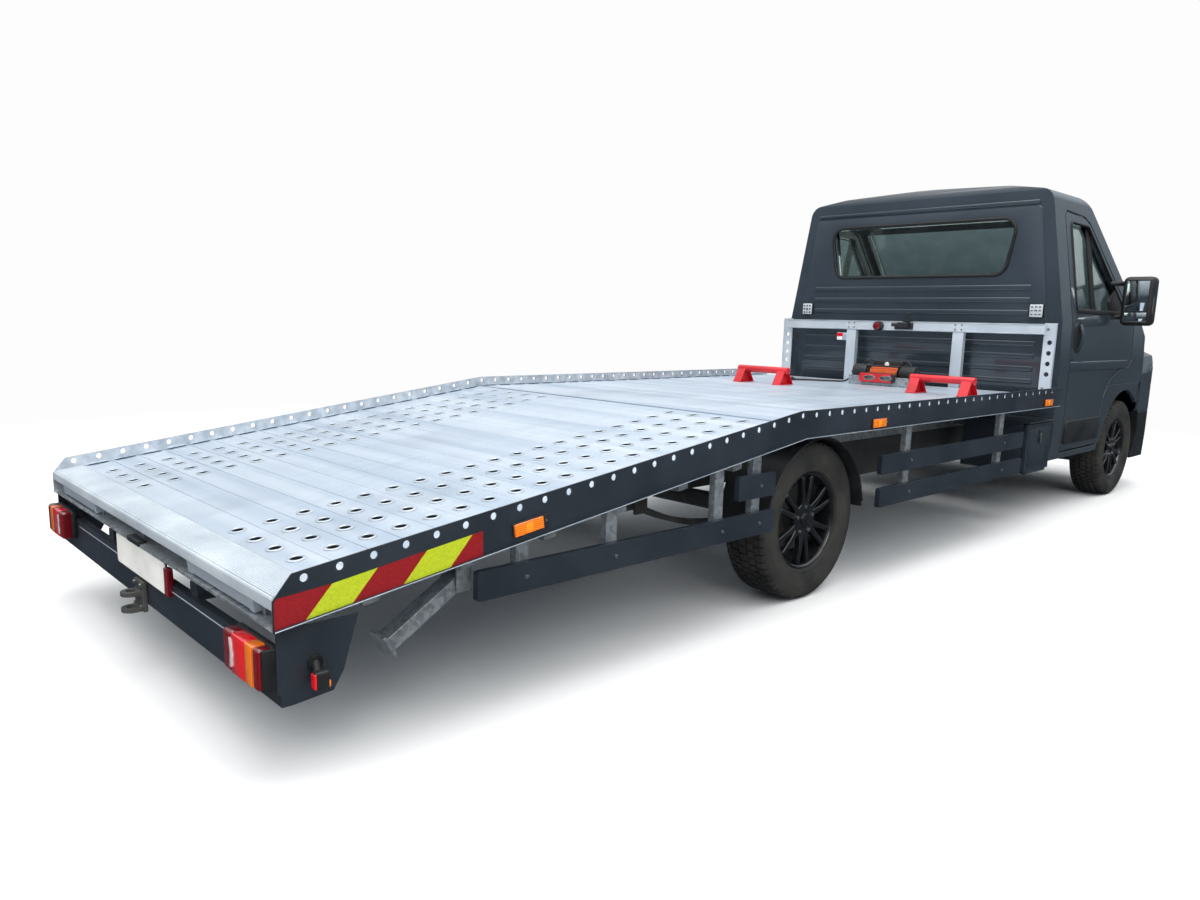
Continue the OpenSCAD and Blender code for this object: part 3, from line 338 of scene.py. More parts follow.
def bar(name, x, y, z, edge=0.002, steps=2):
    """A straight bar between two limits each way, its edges rounded."""
    clear()
    bpy.ops.mesh.primitive_cube_add(size=1, location=[(a[0] + a[1]) / 2 for a in (x, y, z)])
    piece = bpy.context.object
    piece.name = name
    piece.scale = [a[1] - a[0] for a in (x, y, z)]
    bpy.ops.object.transform_apply(location=True, rotation=True, scale=True)
    if edge:
        bpy.ops.object.mode_set(mode="EDIT")
        bpy.ops.mesh.select_all(action="SELECT")
        bpy.ops.mesh.bevel(offset=edge, segments=steps, affect="EDGES")
        bpy.ops.object.mode_set(mode="OBJECT")
    return smooth(piece)


def rod(name, start, end, radius, edge=0.002, sides=24, radius_end=None, steps=2):
    """A round bar between two points, its rims rounded."""
    clear()
    start, end = Vector(start), Vector(end)
    along = end - start
    bpy.ops.mesh.primitive_cone_add(vertices=sides, radius1=radius, radius2=radius
        if radius_end is None else radius_end,
                                    depth=along.length, location=(start + end) / 2,
                                    rotation=along.to_track_quat("Z", "Y").to_euler())
    piece = bpy.context.object
    piece.name = name
    bpy.ops.object.transform_apply(location=True, rotation=True, scale=True)
    if edge:
        way = along.normalized()
        pick(piece, lambda c, n: abs(n.dot(way)) > 0.99)
        bpy.ops.mesh.bevel(offset=edge, segments=steps, affect="EDGES")
        bpy.ops.object.mode_set(mode="OBJECT")
    return smooth(piece)


def plate(name, outline, axis, start, end, edge=0.001, steps=2):
    """A flat plate: its outline in the two other axes, in order, drawn out along axis from start to end."""
    clear()
    bpy.ops.mesh.primitive_circle_add(vertices=len(outline), radius=1, fill_type="NGON")
    piece = bpy.context.object
    piece.name = name
    others = [i for i in range(3) if i != axis]
    for v, (a, b) in zip(piece.data.vertices, outline):
        v.co[others[0]], v.co[others[1]], v.co[axis] = a, b, start
    bpy.ops.object.mode_set(mode="EDIT")
    bpy.ops.mesh.select_all(action="SELECT")
    way = [0, 0, 0]
    way[axis] = end - start
    bpy.ops.mesh.extrude_region_move(TRANSFORM_OT_translate={"value": way})
    bpy.ops.mesh.select_all(action="SELECT")
    bpy.ops.mesh.normals_make_consistent(inside=False)
    bpy.ops.object.mode_set(mode="OBJECT")
    if edge:
        fix = bpy.context.object.modifiers.new("edges", "BEVEL")
        fix.width = edge
        fix.segments = steps
        fix.limit_method = "ANGLE"
        fix.angle_limit = math.radians(25)
        fix.use_clamp_overlap = True
        bpy.ops.object.modifier_apply(modifier="edges")
    return smooth(piece)


def twin(piece, name, move=None, mirror=False):
    """A copy with its own mesh, moved by a matrix or mirrored to the other side of the truck."""
    made = piece.copy()
    made.data = piece.data.copy()
    made.name = name
    bpy.context.scene.collection.objects.link(made)
    if mirror:
        made.data.transform(Matrix.Scale(-1, 4, (1, 0, 0)))
        made.data.flip_normals()
    if move is not None:
        made.data.transform(move)
    return made


def join(name, parts):
    """Joins pieces into the first and names it."""
    clear()
    for part in parts:
        part.select_set(True)
    bpy.context.view_layer.objects.active = parts[0]
    if len(parts) > 1:
        bpy.ops.object.join()
    parts[0].name = name
    return parts[0]


def paint(piece, finish):
    piece.data.materials.clear()
    piece.data.materials.append(finish)
    return piece


def settle(piece, body, *replaced, slot=None):
    """The piece rides on a body and may stand for CAD nodes; its slot argument is not used."""
    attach(piece, body)
    if replaced:
        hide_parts(*replaced)
    return piece


# Mill-finish extruded aluminium: die lines run along each plank, tyres and feet leave cloudy smears
alloy, alloy_shader = surface("mill-finish extruded aluminium", "#d2d8de", 0.4, 0.75)
alloy_tree = alloy.node_tree
die_lines = add(alloy_tree, "TexNoise", {"Vector": place_on(alloy_tree, (0.6, 1, 1)),
    "Scale": 420.0, "Detail": 3.0})
plank_tone = add(alloy_tree, "TexNoise", {"Vector": place_on(alloy_tree, (0.05, 1, 1)),
    "Scale": 9.0, "Detail": 2.0})
smear = add(alloy_tree, "TexNoise", {"Vector": place_on(alloy_tree, (1.0, 0.35, 1)), "Scale": 3.2,
    "Detail": 7.0, "Roughness": 0.62})
alloy_base = add(alloy_tree, "ValToRGB", {0: plank_tone.outputs[0]}, stops=[(0.35, "#bccad8"),
    (0.65, "#d4dde7")])
alloy_share = add(alloy_tree, "MapRange", {0: smear.outputs[0], 1: 0.52, 2: 0.74, 3: 0.0, 4: 0.55})
alloy_mix = add(alloy_tree, "Mix", {0: alloy_share.outputs[0], 6: alloy_base.outputs[0],
    7: linear("#9aa6b2")}, data_type="RGBA")
alloy_tree.links.new(alloy_mix.outputs[2], alloy_shader.inputs["Base Color"])
alloy_dull = add(alloy_tree, "MapRange", {0: smear.outputs[0], 1: 0.3, 2: 0.7, 3: 0.34, 4: 0.56})
alloy_tree.links.new(alloy_dull.outputs[0], alloy_shader.inputs["Roughness"])
alloy_dent = add(alloy_tree, "Bump", {"Height": die_lines.outputs[0], "Strength": 0.3,
    "Distance": 0.0004})
alloy_tree.links.new(alloy_dent.outputs[0], alloy_shader.inputs["Normal"])

half_deck = 1.094
plank_run = 19                       # planks on the slope
slope_end = 2.0995                   # where the tread plate starts
level_run = KINK - 1.530
planks = []
plank = bar("plank", (-half_deck, half_deck), (-PLANK / 2 + 0.0008, PLANK / 2 - 0.0008),
    (-0.025, 0), 0.0022, 2)
# Two shallow flutes along each plank
pick(plank, lambda c, n: n.z > 0.9 and abs(c.y) < 0.04)
bpy.ops.mesh.inset(thickness=0.018, depth=0)
bpy.ops.transform.translate(value=(0, 0, -0.0014))
bpy.ops.object.mode_set(mode="OBJECT")
smooth(plank, 25)
hole_rows = []
for i in range(plank_run):
    run = slope_end - (i + 0.5) * PLANK
    at = spot(0, run)
    hole_rows.append(run)
    planks.append(twin(plank, "plank_s%d" % i, Matrix.Translation(at) @ Matrix.Rotation(-SLOPE, 4,
        "X")))
for i in range(int((level_run - 0.02) / PLANK)):
    planks.append(twin(plank, "plank_l%d" % i,
        Matrix.Translation(spot(0, -(i + 0.5) * PLANK - 0.004))))
last = level_run - 0.004 - int((level_run - 0.02) / PLANK) * PLANK
planks.append(bar("plank_front", (-half_deck, half_deck), (FRONT_AXLE + 1.530,
    FRONT_AXLE + 1.530 + last - 0.0008), (DECK_TOP - 0.025, DECK_TOP), 0.002, 1))
bpy.data.objects.remove(plank)
deck = join("deck_planks", planks)
# The grip holes: a cutter with one plug for each hole
GRIP_R = 0.0180
TRACKS = [side * x for side in (-1, 1) for x in (0.450, 0.5875, 0.7225, 0.860)]
plug = rod("plug", (0, 0, -0.06), (0, 0, 0.02), GRIP_R, 0, 16)
plugs = []
for run in hole_rows:
    for x in TRACKS:
        plugs.append(twin(plug, "plug", Matrix.Translation(spot(x, run)) @ Matrix.Rotation(-SLOPE,
            4, "X")))
cutter = join("cutter", plugs)
# The planks are hollow: the hole walls take a near-black painted shade that stands for the unlit chamber seen
# through a hole
chamber, chamber_shader = surface("unlit oxidised aluminium", "#15171a", 0.8)
clouded(chamber, chamber_shader, ("#0d0f11", "#1d2023"), 0.03, 0.002, 0.0005, (0.7, 0.9))
for part in (deck, cutter):
    part.data.materials.clear()
    part.data.materials.append(alloy)
    part.data.materials.append(chamber)
# The cutter's faces become the hole walls, so they carry the painted shade
for face in cutter.data.polygons:
    face.material_index = 1
take(deck)
cut = deck.modifiers.new("holes", "BOOLEAN")
cut.operation = "DIFFERENCE"
cut.object = cutter
cut.solver = "EXACT"
bpy.ops.object.modifier_apply(modifier="holes")
bpy.data.objects.remove(cutter)
bpy.data.objects.remove(plug)
smooth(deck, 25)
# The pressed-up rims: a low collar, spun once and copied
clear()
bpy.ops.mesh.primitive_circle_add(vertices=20, radius=GRIP_R + 0.0095, location=(0, 0, 0.0001))
collar = bpy.context.object
bpy.ops.object.mode_set(mode="EDIT")
for radius, rise in ((GRIP_R + 0.0075, 0.0006), (GRIP_R + 0.0035, 0.0017), (GRIP_R + 0.0012,
        0.0019), (GRIP_R + 0.0001, 0.0008)):
    bpy.ops.mesh.extrude_edges_move()
    bpy.ops.object.mode_set(mode="OBJECT")
    for v in collar.data.vertices:
        if v.select:
            v.co.xy = v.co.xy.normalized() * radius
            v.co.z = rise
    bpy.ops.object.mode_set(mode="EDIT")
bpy.ops.mesh.select_all(action="SELECT")
bpy.ops.mesh.normals_make_consistent(inside=False)
bpy.ops.object.mode_set(mode="OBJECT")
bpy.ops.object.transform_apply(location=True, rotation=True, scale=True)
if collar.data.polygons[0].normal.z < 0:
    collar.data.flip_normals()
smooth(collar, 60)
# Painted highlight on the pressed-up rims: brighter and smoother than the plank round it, as if the raised rims
# caught the light
painted_highlight_alloy, painted_highlight_alloy_shader = surface("rubbed bright aluminium", "#e6eaee", 0.3, 0.85)
clouded(painted_highlight_alloy, painted_highlight_alloy_shader, ("#c9d4de", "#e2e9ee"), 0.22, 0.001, 0.0002, (0.26, 0.42))
collars = []
for run in hole_rows:
    for x in TRACKS:
        collars.append(twin(collar, "collar",
            Matrix.Translation(spot(x, run)) @ Matrix.Rotation(-SLOPE, 4, "X")))
rims = paint(join("deck_hole_rims", collars), painted_highlight_alloy)
# Mill-finish aluminium: paler and softer than the rolled planks, with a thin white oxide
mill, mill_shader = surface("mill-finish aluminium", "#d3dae0", 0.42, 0.5)
clouded(mill, mill_shader, ("#c3ccd4", "#dbe2e8"), 0.35, 0.002, 0.0002, (0.38, 0.52))
bpy.data.objects.remove(collar)
settle(deck, "base", "deck", slot="aluminium")
settle(rims, "base", slot="aluminium")

# ---- Tyres ----
# Van tyres of black rubber: five tread ribs between four rain grooves, cut across into blocks,
# over plain side walls with a rim-protecting ridge. Moulded, so matt with a faint bloom.
tread = [(0.0800, 0.2165), (0.0930, 0.2225), (0.0965, 0.2290), (0.0960, 0.2345), (0.0992, 0.2420),
    (0.1032, 0.2560),
         (0.1058, 0.2720), (0.1070, 0.2860), (0.1075, 0.2900), (0.1075, 0.2960), (0.1064, 0.3000),
         (0.1058, 0.3130),
         (0.1030, 0.3260), (0.0988, 0.3370), (0.0950, 0.3435), (0.0890, 0.3488)]
for edge_out, edge_in in ((0.062, 0.0545), (0.026, 0.0185)):
    for x, sink in ((edge_out, 0), (edge_out - 0.0007, 0.0075), (edge_in + 0.0007, 0.0075),
            (edge_in, 0)):
        tread.append((x, 0.3550 - 0.0060 * (x / 0.089) ** 2 - sink))
outline = tread + [(-x, r) for x, r in reversed(tread)] + [(-0.074, 0.2110), (0.074, 0.2110)]


def turned(name, outline, steps, angle=30):
    """A ring turned about the X axis from a closed outline of across and radius."""
    clear()
    bpy.ops.mesh.primitive_circle_add(vertices=len(outline), radius=1)
    ring = bpy.context.object
    ring.name = name
    for v, (x, r) in zip(ring.data.vertices, outline):
        v.co = (x, 0, r)
    bpy.ops.object.mode_set(mode="EDIT")
    bpy.ops.mesh.select_all(action="SELECT")
    bpy.ops.mesh.spin(steps=steps, angle=2 * math.pi, center=(0, 0, 0), axis=(1, 0, 0))
    bpy.ops.mesh.select_all(action="SELECT")
    bpy.ops.mesh.remove_doubles(threshold=0.00005)
    bpy.ops.mesh.normals_make_consistent(inside=False)
    bpy.ops.object.mode_set(mode="OBJECT")
    return smooth(ring, angle)


SEGMENTS = 300
tyre = turned("tyre", outline, SEGMENTS)


def across_groove(c, n):
    """Every fifth strip of a rib, each rib turned a little from the next; the shoulders' cuts run down the side."""
    step = int((math.atan2(c.z, c.y) + math.pi) / (2 * math.pi) * SEGMENTS)
    r = math.hypot(c.y, c.z)
    if abs(c.x) < 0.0185:
        return r > 0.351 and step % 5 == 0
    if abs(c.x) < 0.0545:
        return r > 0.347 and abs(c.x) > 0.026 and step % 5 == (2 if c.x > 0 else 3)
    return r > 0.339 and abs(c.x) > 0.062 and step % 5 == (4 if c.x > 0 else 1)


pick(tyre, across_groove)
bpy.ops.mesh.extrude_region_shrink_fatten(TRANSFORM_OT_shrink_fatten={"value": -0.0055})
bpy.ops.object.mode_set(mode="OBJECT")
smooth(tyre, 30)
# Vulcanised rubber: matt black with a grey bloom where it is dry
rubber, rubber_shader = surface("vulcanised tyre rubber", "#1a1b1c", 0.75)
clouded(rubber, rubber_shader, ("#1f1f1d", "#32312d"), 0.12, 0.0015, 0.0005, (0.62, 0.85))

# ---- Rims ----
# Six pairs of spokes in cast alloy, gloss black all over, on five bolts.
barrel = turned("rim", [(-0.0855, 0.1940), (-0.0855, 0.2145), (-0.0835, 0.2160), (-0.0800, 0.2155),
    (-0.0730, 0.2105),
                        (0.0730, 0.2105), (0.0800, 0.2155), (0.0835, 0.2160), (0.0855, 0.2140),
                        (0.0850, 0.2110),
                        (0.0815, 0.2085), (0.0780, 0.2030), (0.0680, 0.1990), (0.0200, 0.1960),
                        (-0.0300, 0.1900)], 96)
spoke = plate("spoke", [(-0.0170, 0.052), (0.0150, 0.052), (0.0115, 0.120), (0.0105, 0.2000),
    (-0.0105, 0.2000), (-0.0125, 0.120)],
              0, 0.0500, 0.0790, 0.0045, 3)
# The back of each spoke is cast hollow, its face lies a little lower at the hub
pick(spoke, lambda c: c.z < 0.1, "VERT")
bpy.ops.transform.translate(value=(-0.0065, 0, 0))
bpy.ops.object.mode_set(mode="OBJECT")
parts = [barrel, rod("hub", (0.046, 0, 0), (0.0745, 0, 0), 0.078, 0.006, 48, steps=3),
         rod("cap", (0.070, 0, 0), (0.0815, 0, 0), 0.0315, 0.003, 40, steps=3),
         rod("cap_boss", (0.080, 0, 0), (0.0830, 0, 0), 0.024, 0.0012, 40)]
for pair in range(6):
    for lean in (-10.5, 10.5):
        parts.append(twin(spoke, "spoke", Matrix.Rotation(math.radians(pair * 60 + lean), 4, "X")))
bpy.data.objects.remove(spoke)
gloss, gloss_shader = surface("gloss black wheel lacquer", "#0c0d0e", 0.3, Coat_Weight=1.0,
    Coat_Roughness=0.05)
clouded(gloss, gloss_shader, ("#0a0b0c", "#141517"), 0.05, 0.003, 0.0002, (0.25, 0.4))
rim = paint(join("rim", parts), gloss)
# Zinc-plated bolts in their pockets
bolt_steel, bolt_shader = surface("zinc-plated bolt steel", "#8d8f8e", 0.35, 0.9)
clouded(bolt_steel, bolt_shader, ("#7f817f", "#a3a4a2"), 0.004, 0.0008, 0.0003, (0.3, 0.5))
bolt = rod("bolt", (0.070, 0, 0.059), (0.0800, 0, 0.059), 0.0085, 0.0012, 6)
nuts = [twin(bolt, "bolt", Matrix.Rotation(math.radians(i * 72), 4, "X")) for i in range(5)]
bpy.data.objects.remove(bolt)
rim = join("rim", [rim, paint(join("bolts", nuts), bolt_steel)])
valve = paint(rod("valve", (0.0700, 0.012, 0.190), (0.0830, 0.012, 0.182), 0.004, 0.001, 12),
    rubber)
rim = join("rim", [rim, valve])
paint(tyre, rubber)
WHEEL_X, AXLE_Z = 0.895, 0.355
for place, y in (("front", 0.0), ("rear", 4.035)):
    for name, side in (("left", 1), ("right", -1)):
        at = Matrix.Translation((side * WHEEL_X, FRONT_AXLE + y, AXLE_Z)) @ Matrix.Rotation(0
            if side > 0 else math.pi, 4, "Z")
        key = "%s_%s" % (place, name)
        settle(twin(tyre, "tread_tyre_" + key, at), "wheel_" + key, "tyre_" + key,
            slot="tyre_rubber")
        settle(twin(rim, "spoked_rim_" + key, at), "wheel_" + key, "rim_" + key, slot="wheel_black")
bpy.data.objects.remove(tyre)
bpy.data.objects.remove(rim)

# ---- Cab body ----
# Welded sheet-steel cab in anthracite two-coat enamel: colour under clear lacquer, so it is
# dark and even with sharp soft-edged reflections and a very faint orange peel.
enamel, enamel_shader = surface("anthracite two-coat enamel", "#28323b", 0.42, Coat_Weight=0.9,
    Coat_Roughness=0.06)
enamel_tone, _, _ = clouded(enamel, enamel_shader, ("#242e37", "#2c3640"), 0.6, 0.006, 0.00012,
    (0.34, 0.46))
dusted(enamel, enamel_shader, enamel_tone, 0.95, "#6a6862", 0.22)
BODY = {node: body for body, nodes in frame["record"]["behaviour"]["bodies"].items()
    for node in nodes}


def rounded(node, name, edge, finish, slot, steps=2, angle=28, shade=32, also=None):
    """Stands for a CAD node with a merged copy of it whose edges are rolled over."""
    made = twin(frame["nodes"][node], name)
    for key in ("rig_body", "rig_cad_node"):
        if key in made:
            del made[key]
    made.parent = None
    take(made)
    bpy.ops.object.mode_set(mode="EDIT")
    bpy.ops.mesh.select_all(action="SELECT")
    bpy.ops.mesh.remove_doubles(threshold=0.00002)
    bpy.ops.mesh.dissolve_limited(angle_limit=math.radians(0.4))
    bpy.ops.object.mode_set(mode="OBJECT")
    if also:
        also(made)
    take(made)
    roll = made.modifiers.new("rolled edges", "BEVEL")
    roll.width = edge
    roll.segments = steps
    roll.limit_method = "ANGLE"
    roll.angle_limit = math.radians(angle)
    roll.use_clamp_overlap = False
    bpy.ops.object.modifier_apply(modifier="rolled edges")
    paint(made, finish)
    smooth(made, shade)
    # Large flat panels keep their own shading, so only the rolled edges turn the light
    even = made.modifiers.new("even shading", "WEIGHTED_NORMAL")
    even.keep_sharp = True
    even.weight = 80
    bpy.ops.object.modifier_apply(modifier="even shading")
    return settle(made, BODY[node], node, slot=slot)


CAB_REAR = FRONT_AXLE + 1.360


def round_corners(cab):
    """The two upright rear corners of the cab are pressed to a 45 mm radius."""
    pick(cab, lambda a, b: min(a.y, b.y) > CAB_REAR - 0.002 and min(abs(a.x), abs(b.x)) > 0.86
         and abs(a.z - b.z) > 0.05 and a.z + b.z < 4.05 and min(a.z, b.z) < 1.9 and
         abs(abs(a.x) - side_at(a.z)) < 0.003 and abs(abs(b.x) - side_at(b.z)) < 0.003, "EDGE")
    bpy.ops.mesh.bevel(offset=0.045, segments=6, affect="EDGES", clamp_overlap=True)
    bpy.ops.object.mode_set(mode="OBJECT")


def side_at(z):
    """Half width of the cab at a height, below the roof's shoulder."""
    for (x0, z0), (x1, z1) in zip(CAB_SIDE, CAB_SIDE[1:]):
        if z0 <= z <= z1 + 1e-6:
            return x0 + (x1 - x0) * (z - z0) / (z1 - z0)
    return CAB_SIDE[-1][0]


CAB_SIDE = [(1.012, 0.38), (1.020, 0.62), (1.020, 0.96), (1.008, 1.26), (0.890, 1.96)]
cab = rounded("cab_shell", "cab_panels", 0.0035, enamel, "paint", also=round_corners)
rounded("front_wings", "wing_panels", 0.006, enamel, "paint", steps=3, shade=55)
rounded("bonnet", "bonnet_panel", 0.006, enamel, "paint", steps=3, shade=55)
for side in ("left", "right"):
    rounded("door_" + side, "door_panel_" + side, 0.003, enamel, "paint")


def softened(points, radius, steps=6):
    """An outline with each corner rounded to a radius."""
    made = []
    count = len(points)
    for i in range(count):
        here = Vector(points[i])
        before, after = Vector(points[i - 1]) - here, Vector(points[(i + 1) % count]) - here
        half = before.angle(after) / 2
        reach = min(radius / math.tan(half), before.length / 2.05, after.length / 2.05)
        size = reach * math.tan(half)
        middle = here + (before.normalized() + after.normalized()).normalized() * (size / math.sin(half))
        start, end = here + before.normalized() * reach - middle, here + after.normalized() * reach - middle
        turn = start.angle_signed(end)
        for k in range(steps + 1):
            a = -turn * k / steps
            made.append((middle.x + start.x * math.cos(a) - start.y * math.sin(a),
                         middle.y + start.x * math.sin(a) + start.y * math.cos(a)))
    return made


def beading(name, points, radius, closed=True, sides=3):
    """A round strip, wire or seal that follows a line of points."""
    clear()
    line = bpy.data.curves.new(name, "CURVE")
    line.dimensions = "3D"
    line.bevel_depth = radius
    line.bevel_resolution = sides
    line.use_fill_caps = not closed
    run = line.splines.new("POLY")
    run.points.add(len(points) - 1)
    for dot, place in zip(run.points, points):
        dot.co = (*place, 1)
    run.use_cyclic_u = closed
    made = bpy.data.objects.new(name, line)
    bpy.context.scene.collection.objects.link(made)
    take(made)
    bpy.ops.object.convert(target="MESH")
    return smooth(bpy.context.object, 60)


def opened(piece, cutter):
    """Cuts the cutter's shape out of the piece."""
    take(piece)
    cut = piece.modifiers.new("opening", "BOOLEAN")
    cut.object = cutter
    cut.solver = "EXACT"
    bpy.ops.object.modifier_apply(modifier="opening")
    bpy.data.objects.remove(cutter)
    return smooth(piece, 30)


def back(y):
    """A place measured rearwards from the front axle."""
    return FRONT_AXLE + y


# ---- Rear wall of the cab ----
# A pressed steel panel with a step round it and two long swages under the window; the
# window sits in a black rubber seal with rounded corners.
window = softened([(-0.622, 1.558), (0.622, 1.558), (0.682, 1.918), (-0.682, 1.918)], 0.085)
panel = plate("rear_wall_pressing", softened([(-0.925, 0.60), (0.925, 0.60), (0.925, 1.20),
    (0.815, 1.985), (-0.815, 1.985), (-0.925, 1.20)], 0.03),
              1, CAB_REAR - 0.003, CAB_REAR + 0.007, 0.004, 3)
panel = opened(panel, plate("hole", window, 1, CAB_REAR - 0.05, CAB_REAR + 0.05, 0))
swages = [panel]
for z, half in ((1.478, 0.80), (1.398, 0.80), (1.318, 0.80), (1.120, 0.86), (1.040, 0.86),
        (0.960, 0.86), (0.880, 0.86)):
    swages.append(bar("swage", (-half, half), (CAB_REAR, CAB_REAR + 0.014), (z - 0.017, z + 0.017),
        0.0065, 4))
swages.append(bar("roof_step", (-0.80, 0.80), (CAB_REAR - 0.002, CAB_REAR + 0.012), (1.997, 2.021),
    0.0055, 3))
panel = paint(join("rear_wall_pressing", swages), enamel)
settle(panel, "base", slot="paint")
# Extruded rubber: dull black with a faint skin
seal, seal_shader = surface("extruded black rubber seal", "#101112", 0.55)
clouded(seal, seal_shader, ("#0d0e0f", "#191a1b"), 0.08, 0.002, 0.0003, (0.45, 0.7))
seals = [beading("window_seal", [(x, CAB_REAR + 0.0075, z) for x, z in window], 0.0105, True, 4)]
paint(seals[0], seal)
settle(seals[0], "base", slot="black_plastic")

# ---- Glass ----
# Tempered safety glass with a weak green body tint.
glass, glass_shader = surface("tempered safety glass", "#cfdcd8", 0.02, 0.0,
    Transmission_Weight=1.0)
glass_shader.inputs["IOR"].default_value = 1.45
glass_tree = glass.node_tree
film = add(glass_tree, "TexNoise", {"Vector": place_on(glass_tree), "Scale": 6.0, "Detail": 6.0})
film_dull = add(glass_tree, "MapRange", {0: film.outputs[0], 1: 0.5, 2: 0.8, 3: 0.015, 4: 0.12})
glass_tree.links.new(film_dull.outputs[0], glass_shader.inputs["Roughness"])
film_tint = add(glass_tree, "ValToRGB", {0: film.outputs[0]}, stops=[(0.3, "#c4d4cf"),
    (0.7, "#dbe5e2")])
glass_tree.links.new(film_tint.outputs[0], glass_shader.inputs["Base Color"])
for node in ("cab_glass", "door_glass_left", "door_glass_right"):
    wear(node, glass)

# ---- Doors: seals, handles, side mouldings and mirrors ----
# Each door carries a rubber seal round its window, a pull handle in a moulded cup near the
# rear edge, a rubbing strip low down and a two-arm mirror with a moulded housing.
# Moulded ABS: charcoal with a fine spark-eroded grain, a little shinier where it is touched
abs_black, abs_shader = surface("grained black ABS", "#1a1c1e", 0.5)
clouded(abs_black, abs_shader, ("#16181a", "#222427"), 0.09, 0.0011, 0.0004, (0.42, 0.6))
mirror_glass, mirror_shader = surface("silvered mirror glass", "#d8dde0", 0.05, 1.0)
clouded(mirror_glass, mirror_shader, ("#cfd5d8", "#e2e6e8"), 0.05, 0.01, 0.00002, (0.03, 0.09))
lens_clear, lens_clear_shader = surface("clear polycarbonate lens", "#e4e9ec", 0.08, 0.0,
    Transmission_Weight=0.35, Coat_Weight=0.6)
clouded(lens_clear, lens_clear_shader, ("#d4dade", "#f2f5f7"), 0.006, 0.0016, 0.0005, (0.06, 0.14))
for side, s in (("left", 1), ("right", -1)):
    body = "door_" + side
    frame_line = softened([(0.140, 1.345), (1.100, 1.345), (1.100, 1.900), (0.784, 1.895)], 0.028)
    strip = beading("seal", [(s * (side_at(z) - 0.0005), back(y), z) for y, z in frame_line],
        0.0085, True, 3)
    # The post between the sliding pane and the fixed quarter pane, and the sail under the mirror
    post = plate("post", [(back(0.715), 1.345), (back(0.790), 1.345), (back(0.790), 1.893),
        (back(0.785), 1.893), (back(0.715), 1.835)], 0, 0.0, 0.012, 0.003)
    sail = plate("sail", softened([(back(0.165), 1.345), (back(0.470), 1.345), (back(0.470), 1.420),
        (back(0.330), 1.505)], 0.012, 3), 0, 0.0, 0.014, 0.004)
    for flat in (post, sail):
        for v in flat.data.vertices:
            v.co.x = s * (side_at(v.co.z) - 0.024 + v.co.x + (0.012 if flat is sail else 0.0))
    if s < 0:
        post.data.flip_normals()
        sail.data.flip_normals()
    belt_strip = bar("belt", (0, 0.012), (back(0.15), back(1.10)), (1.322, 1.345), 0.004, 3)
    belt_strip.data.transform(Matrix.Translation((s * (side_at(1.33) - 0.004) - (0.012 if s < 0
        else 0), 0, 0)))
    black = paint(join("door_rubber_" + side, [strip, post, sail, belt_strip]), seal)
    settle(black, body, slot="black_plastic")
    x_face = 1.0150
    cup = plate("cup", softened([(back(1.010), 1.070), (back(1.140), 1.070), (back(1.140), 1.265),
        (back(1.010), 1.265)], 0.045), 0, x_face - 0.012, x_face + 0.003, 0.0025, 3)
    grip = beading("grip", [(x_face + 0.004 + 0.020 * math.sin(math.pi * k / 12), back(1.075),
        1.085 + 0.165 * k / 12) for k in range(13)], 0.0125, False, 5)
    moulding = plate("moulding", softened([(back(0.545), 0.475), (back(1.165), 0.475),
        (back(1.165), 0.625), (back(0.500), 0.625)], 0.018, 3), 0, 1.012, 1.030, 0.006, 3)
    lock = rod("lock", (x_face, back(1.155), 1.030), (x_face + 0.006, back(1.155), 1.030), 0.0105,
        0.002, 20)
    trim = [cup, moulding, lock]
    for part in trim + [grip]:
        if s < 0:
            part.data.transform(Matrix.Scale(-1, 4, (1, 0, 0)))
            part.data.flip_normals()
    settle(paint(join("door_trim_" + side, trim), abs_black), body, slot="black_plastic")
    crease = bar("crease", (1.010, 1.0255), (back(0.06), back(1.172)), (0.948, 1.012), 0.0072, 4)
    if s < 0:
        crease.data.transform(Matrix.Scale(-1, 4, (1, 0, 0)))
        crease.data.flip_normals()
    settle(paint(join("door_handle_" + side, [grip, crease]), enamel), body, slot="paint")
    # Mirror housing: a rounded shell, a bright pane facing back and a clear turn lamp outside
    low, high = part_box("mirror_" + side)
    mx0, mx1 = (1.048, 1.242) if s > 0 else (-1.242, -1.048)
    shell = bar("shell", (mx0, mx1), (back(0.330), back(0.452)), (1.255, 1.585), 0.034, 5)
    pick(shell, lambda c, n: n.y < -0.9)
    bpy.ops.transform.resize(value=(0.82, 1, 0.88))
    bpy.ops.object.mode_set(mode="OBJECT")
    pick(shell, lambda c, n: n.y > 0.95)
    bpy.ops.mesh.inset(thickness=0.010, depth=-0.008)
    bpy.ops.object.mode_set(mode="OBJECT")
    smooth(shell, 40)
    arms = []
    for z in (1.30, 1.53):
        inner = side_at(z) - 0.012
        arms.append(beading("arm", [(s * (inner + (1.075 - inner) * k / 8),
            back(0.392 - 0.02 * math.sin(math.pi * k / 8)), z + 0.012) for k in range(9)], 0.0165,
            False, 5))
    housing = paint(join("shell", [shell] + arms), abs_black)
    middle = (mx0 + mx1) / 2
    pane = paint(bar("pane", (middle - 0.077, middle + 0.077), (back(0.440), back(0.4465)),
        (1.352, 1.560), 0.003, 2), mirror_glass)
    wide = paint(bar("wide", (middle - 0.077, middle + 0.077), (back(0.440), back(0.4465)),
        (1.282, 1.342), 0.003, 2), mirror_glass)
    outer = mx1 if s > 0 else mx0
    turn_lamp = paint(bar("turn", sorted((outer - s * 0.020, outer - s * 0.0005)),
        (back(0.362), back(0.430)), (1.330, 1.450), 0.008, 3), lens_clear)
    settle(join("mirror_housing_" + side, [housing, pane, wide, turn_lamp]), body, "mirror_" + side,
        slot="black_plastic")

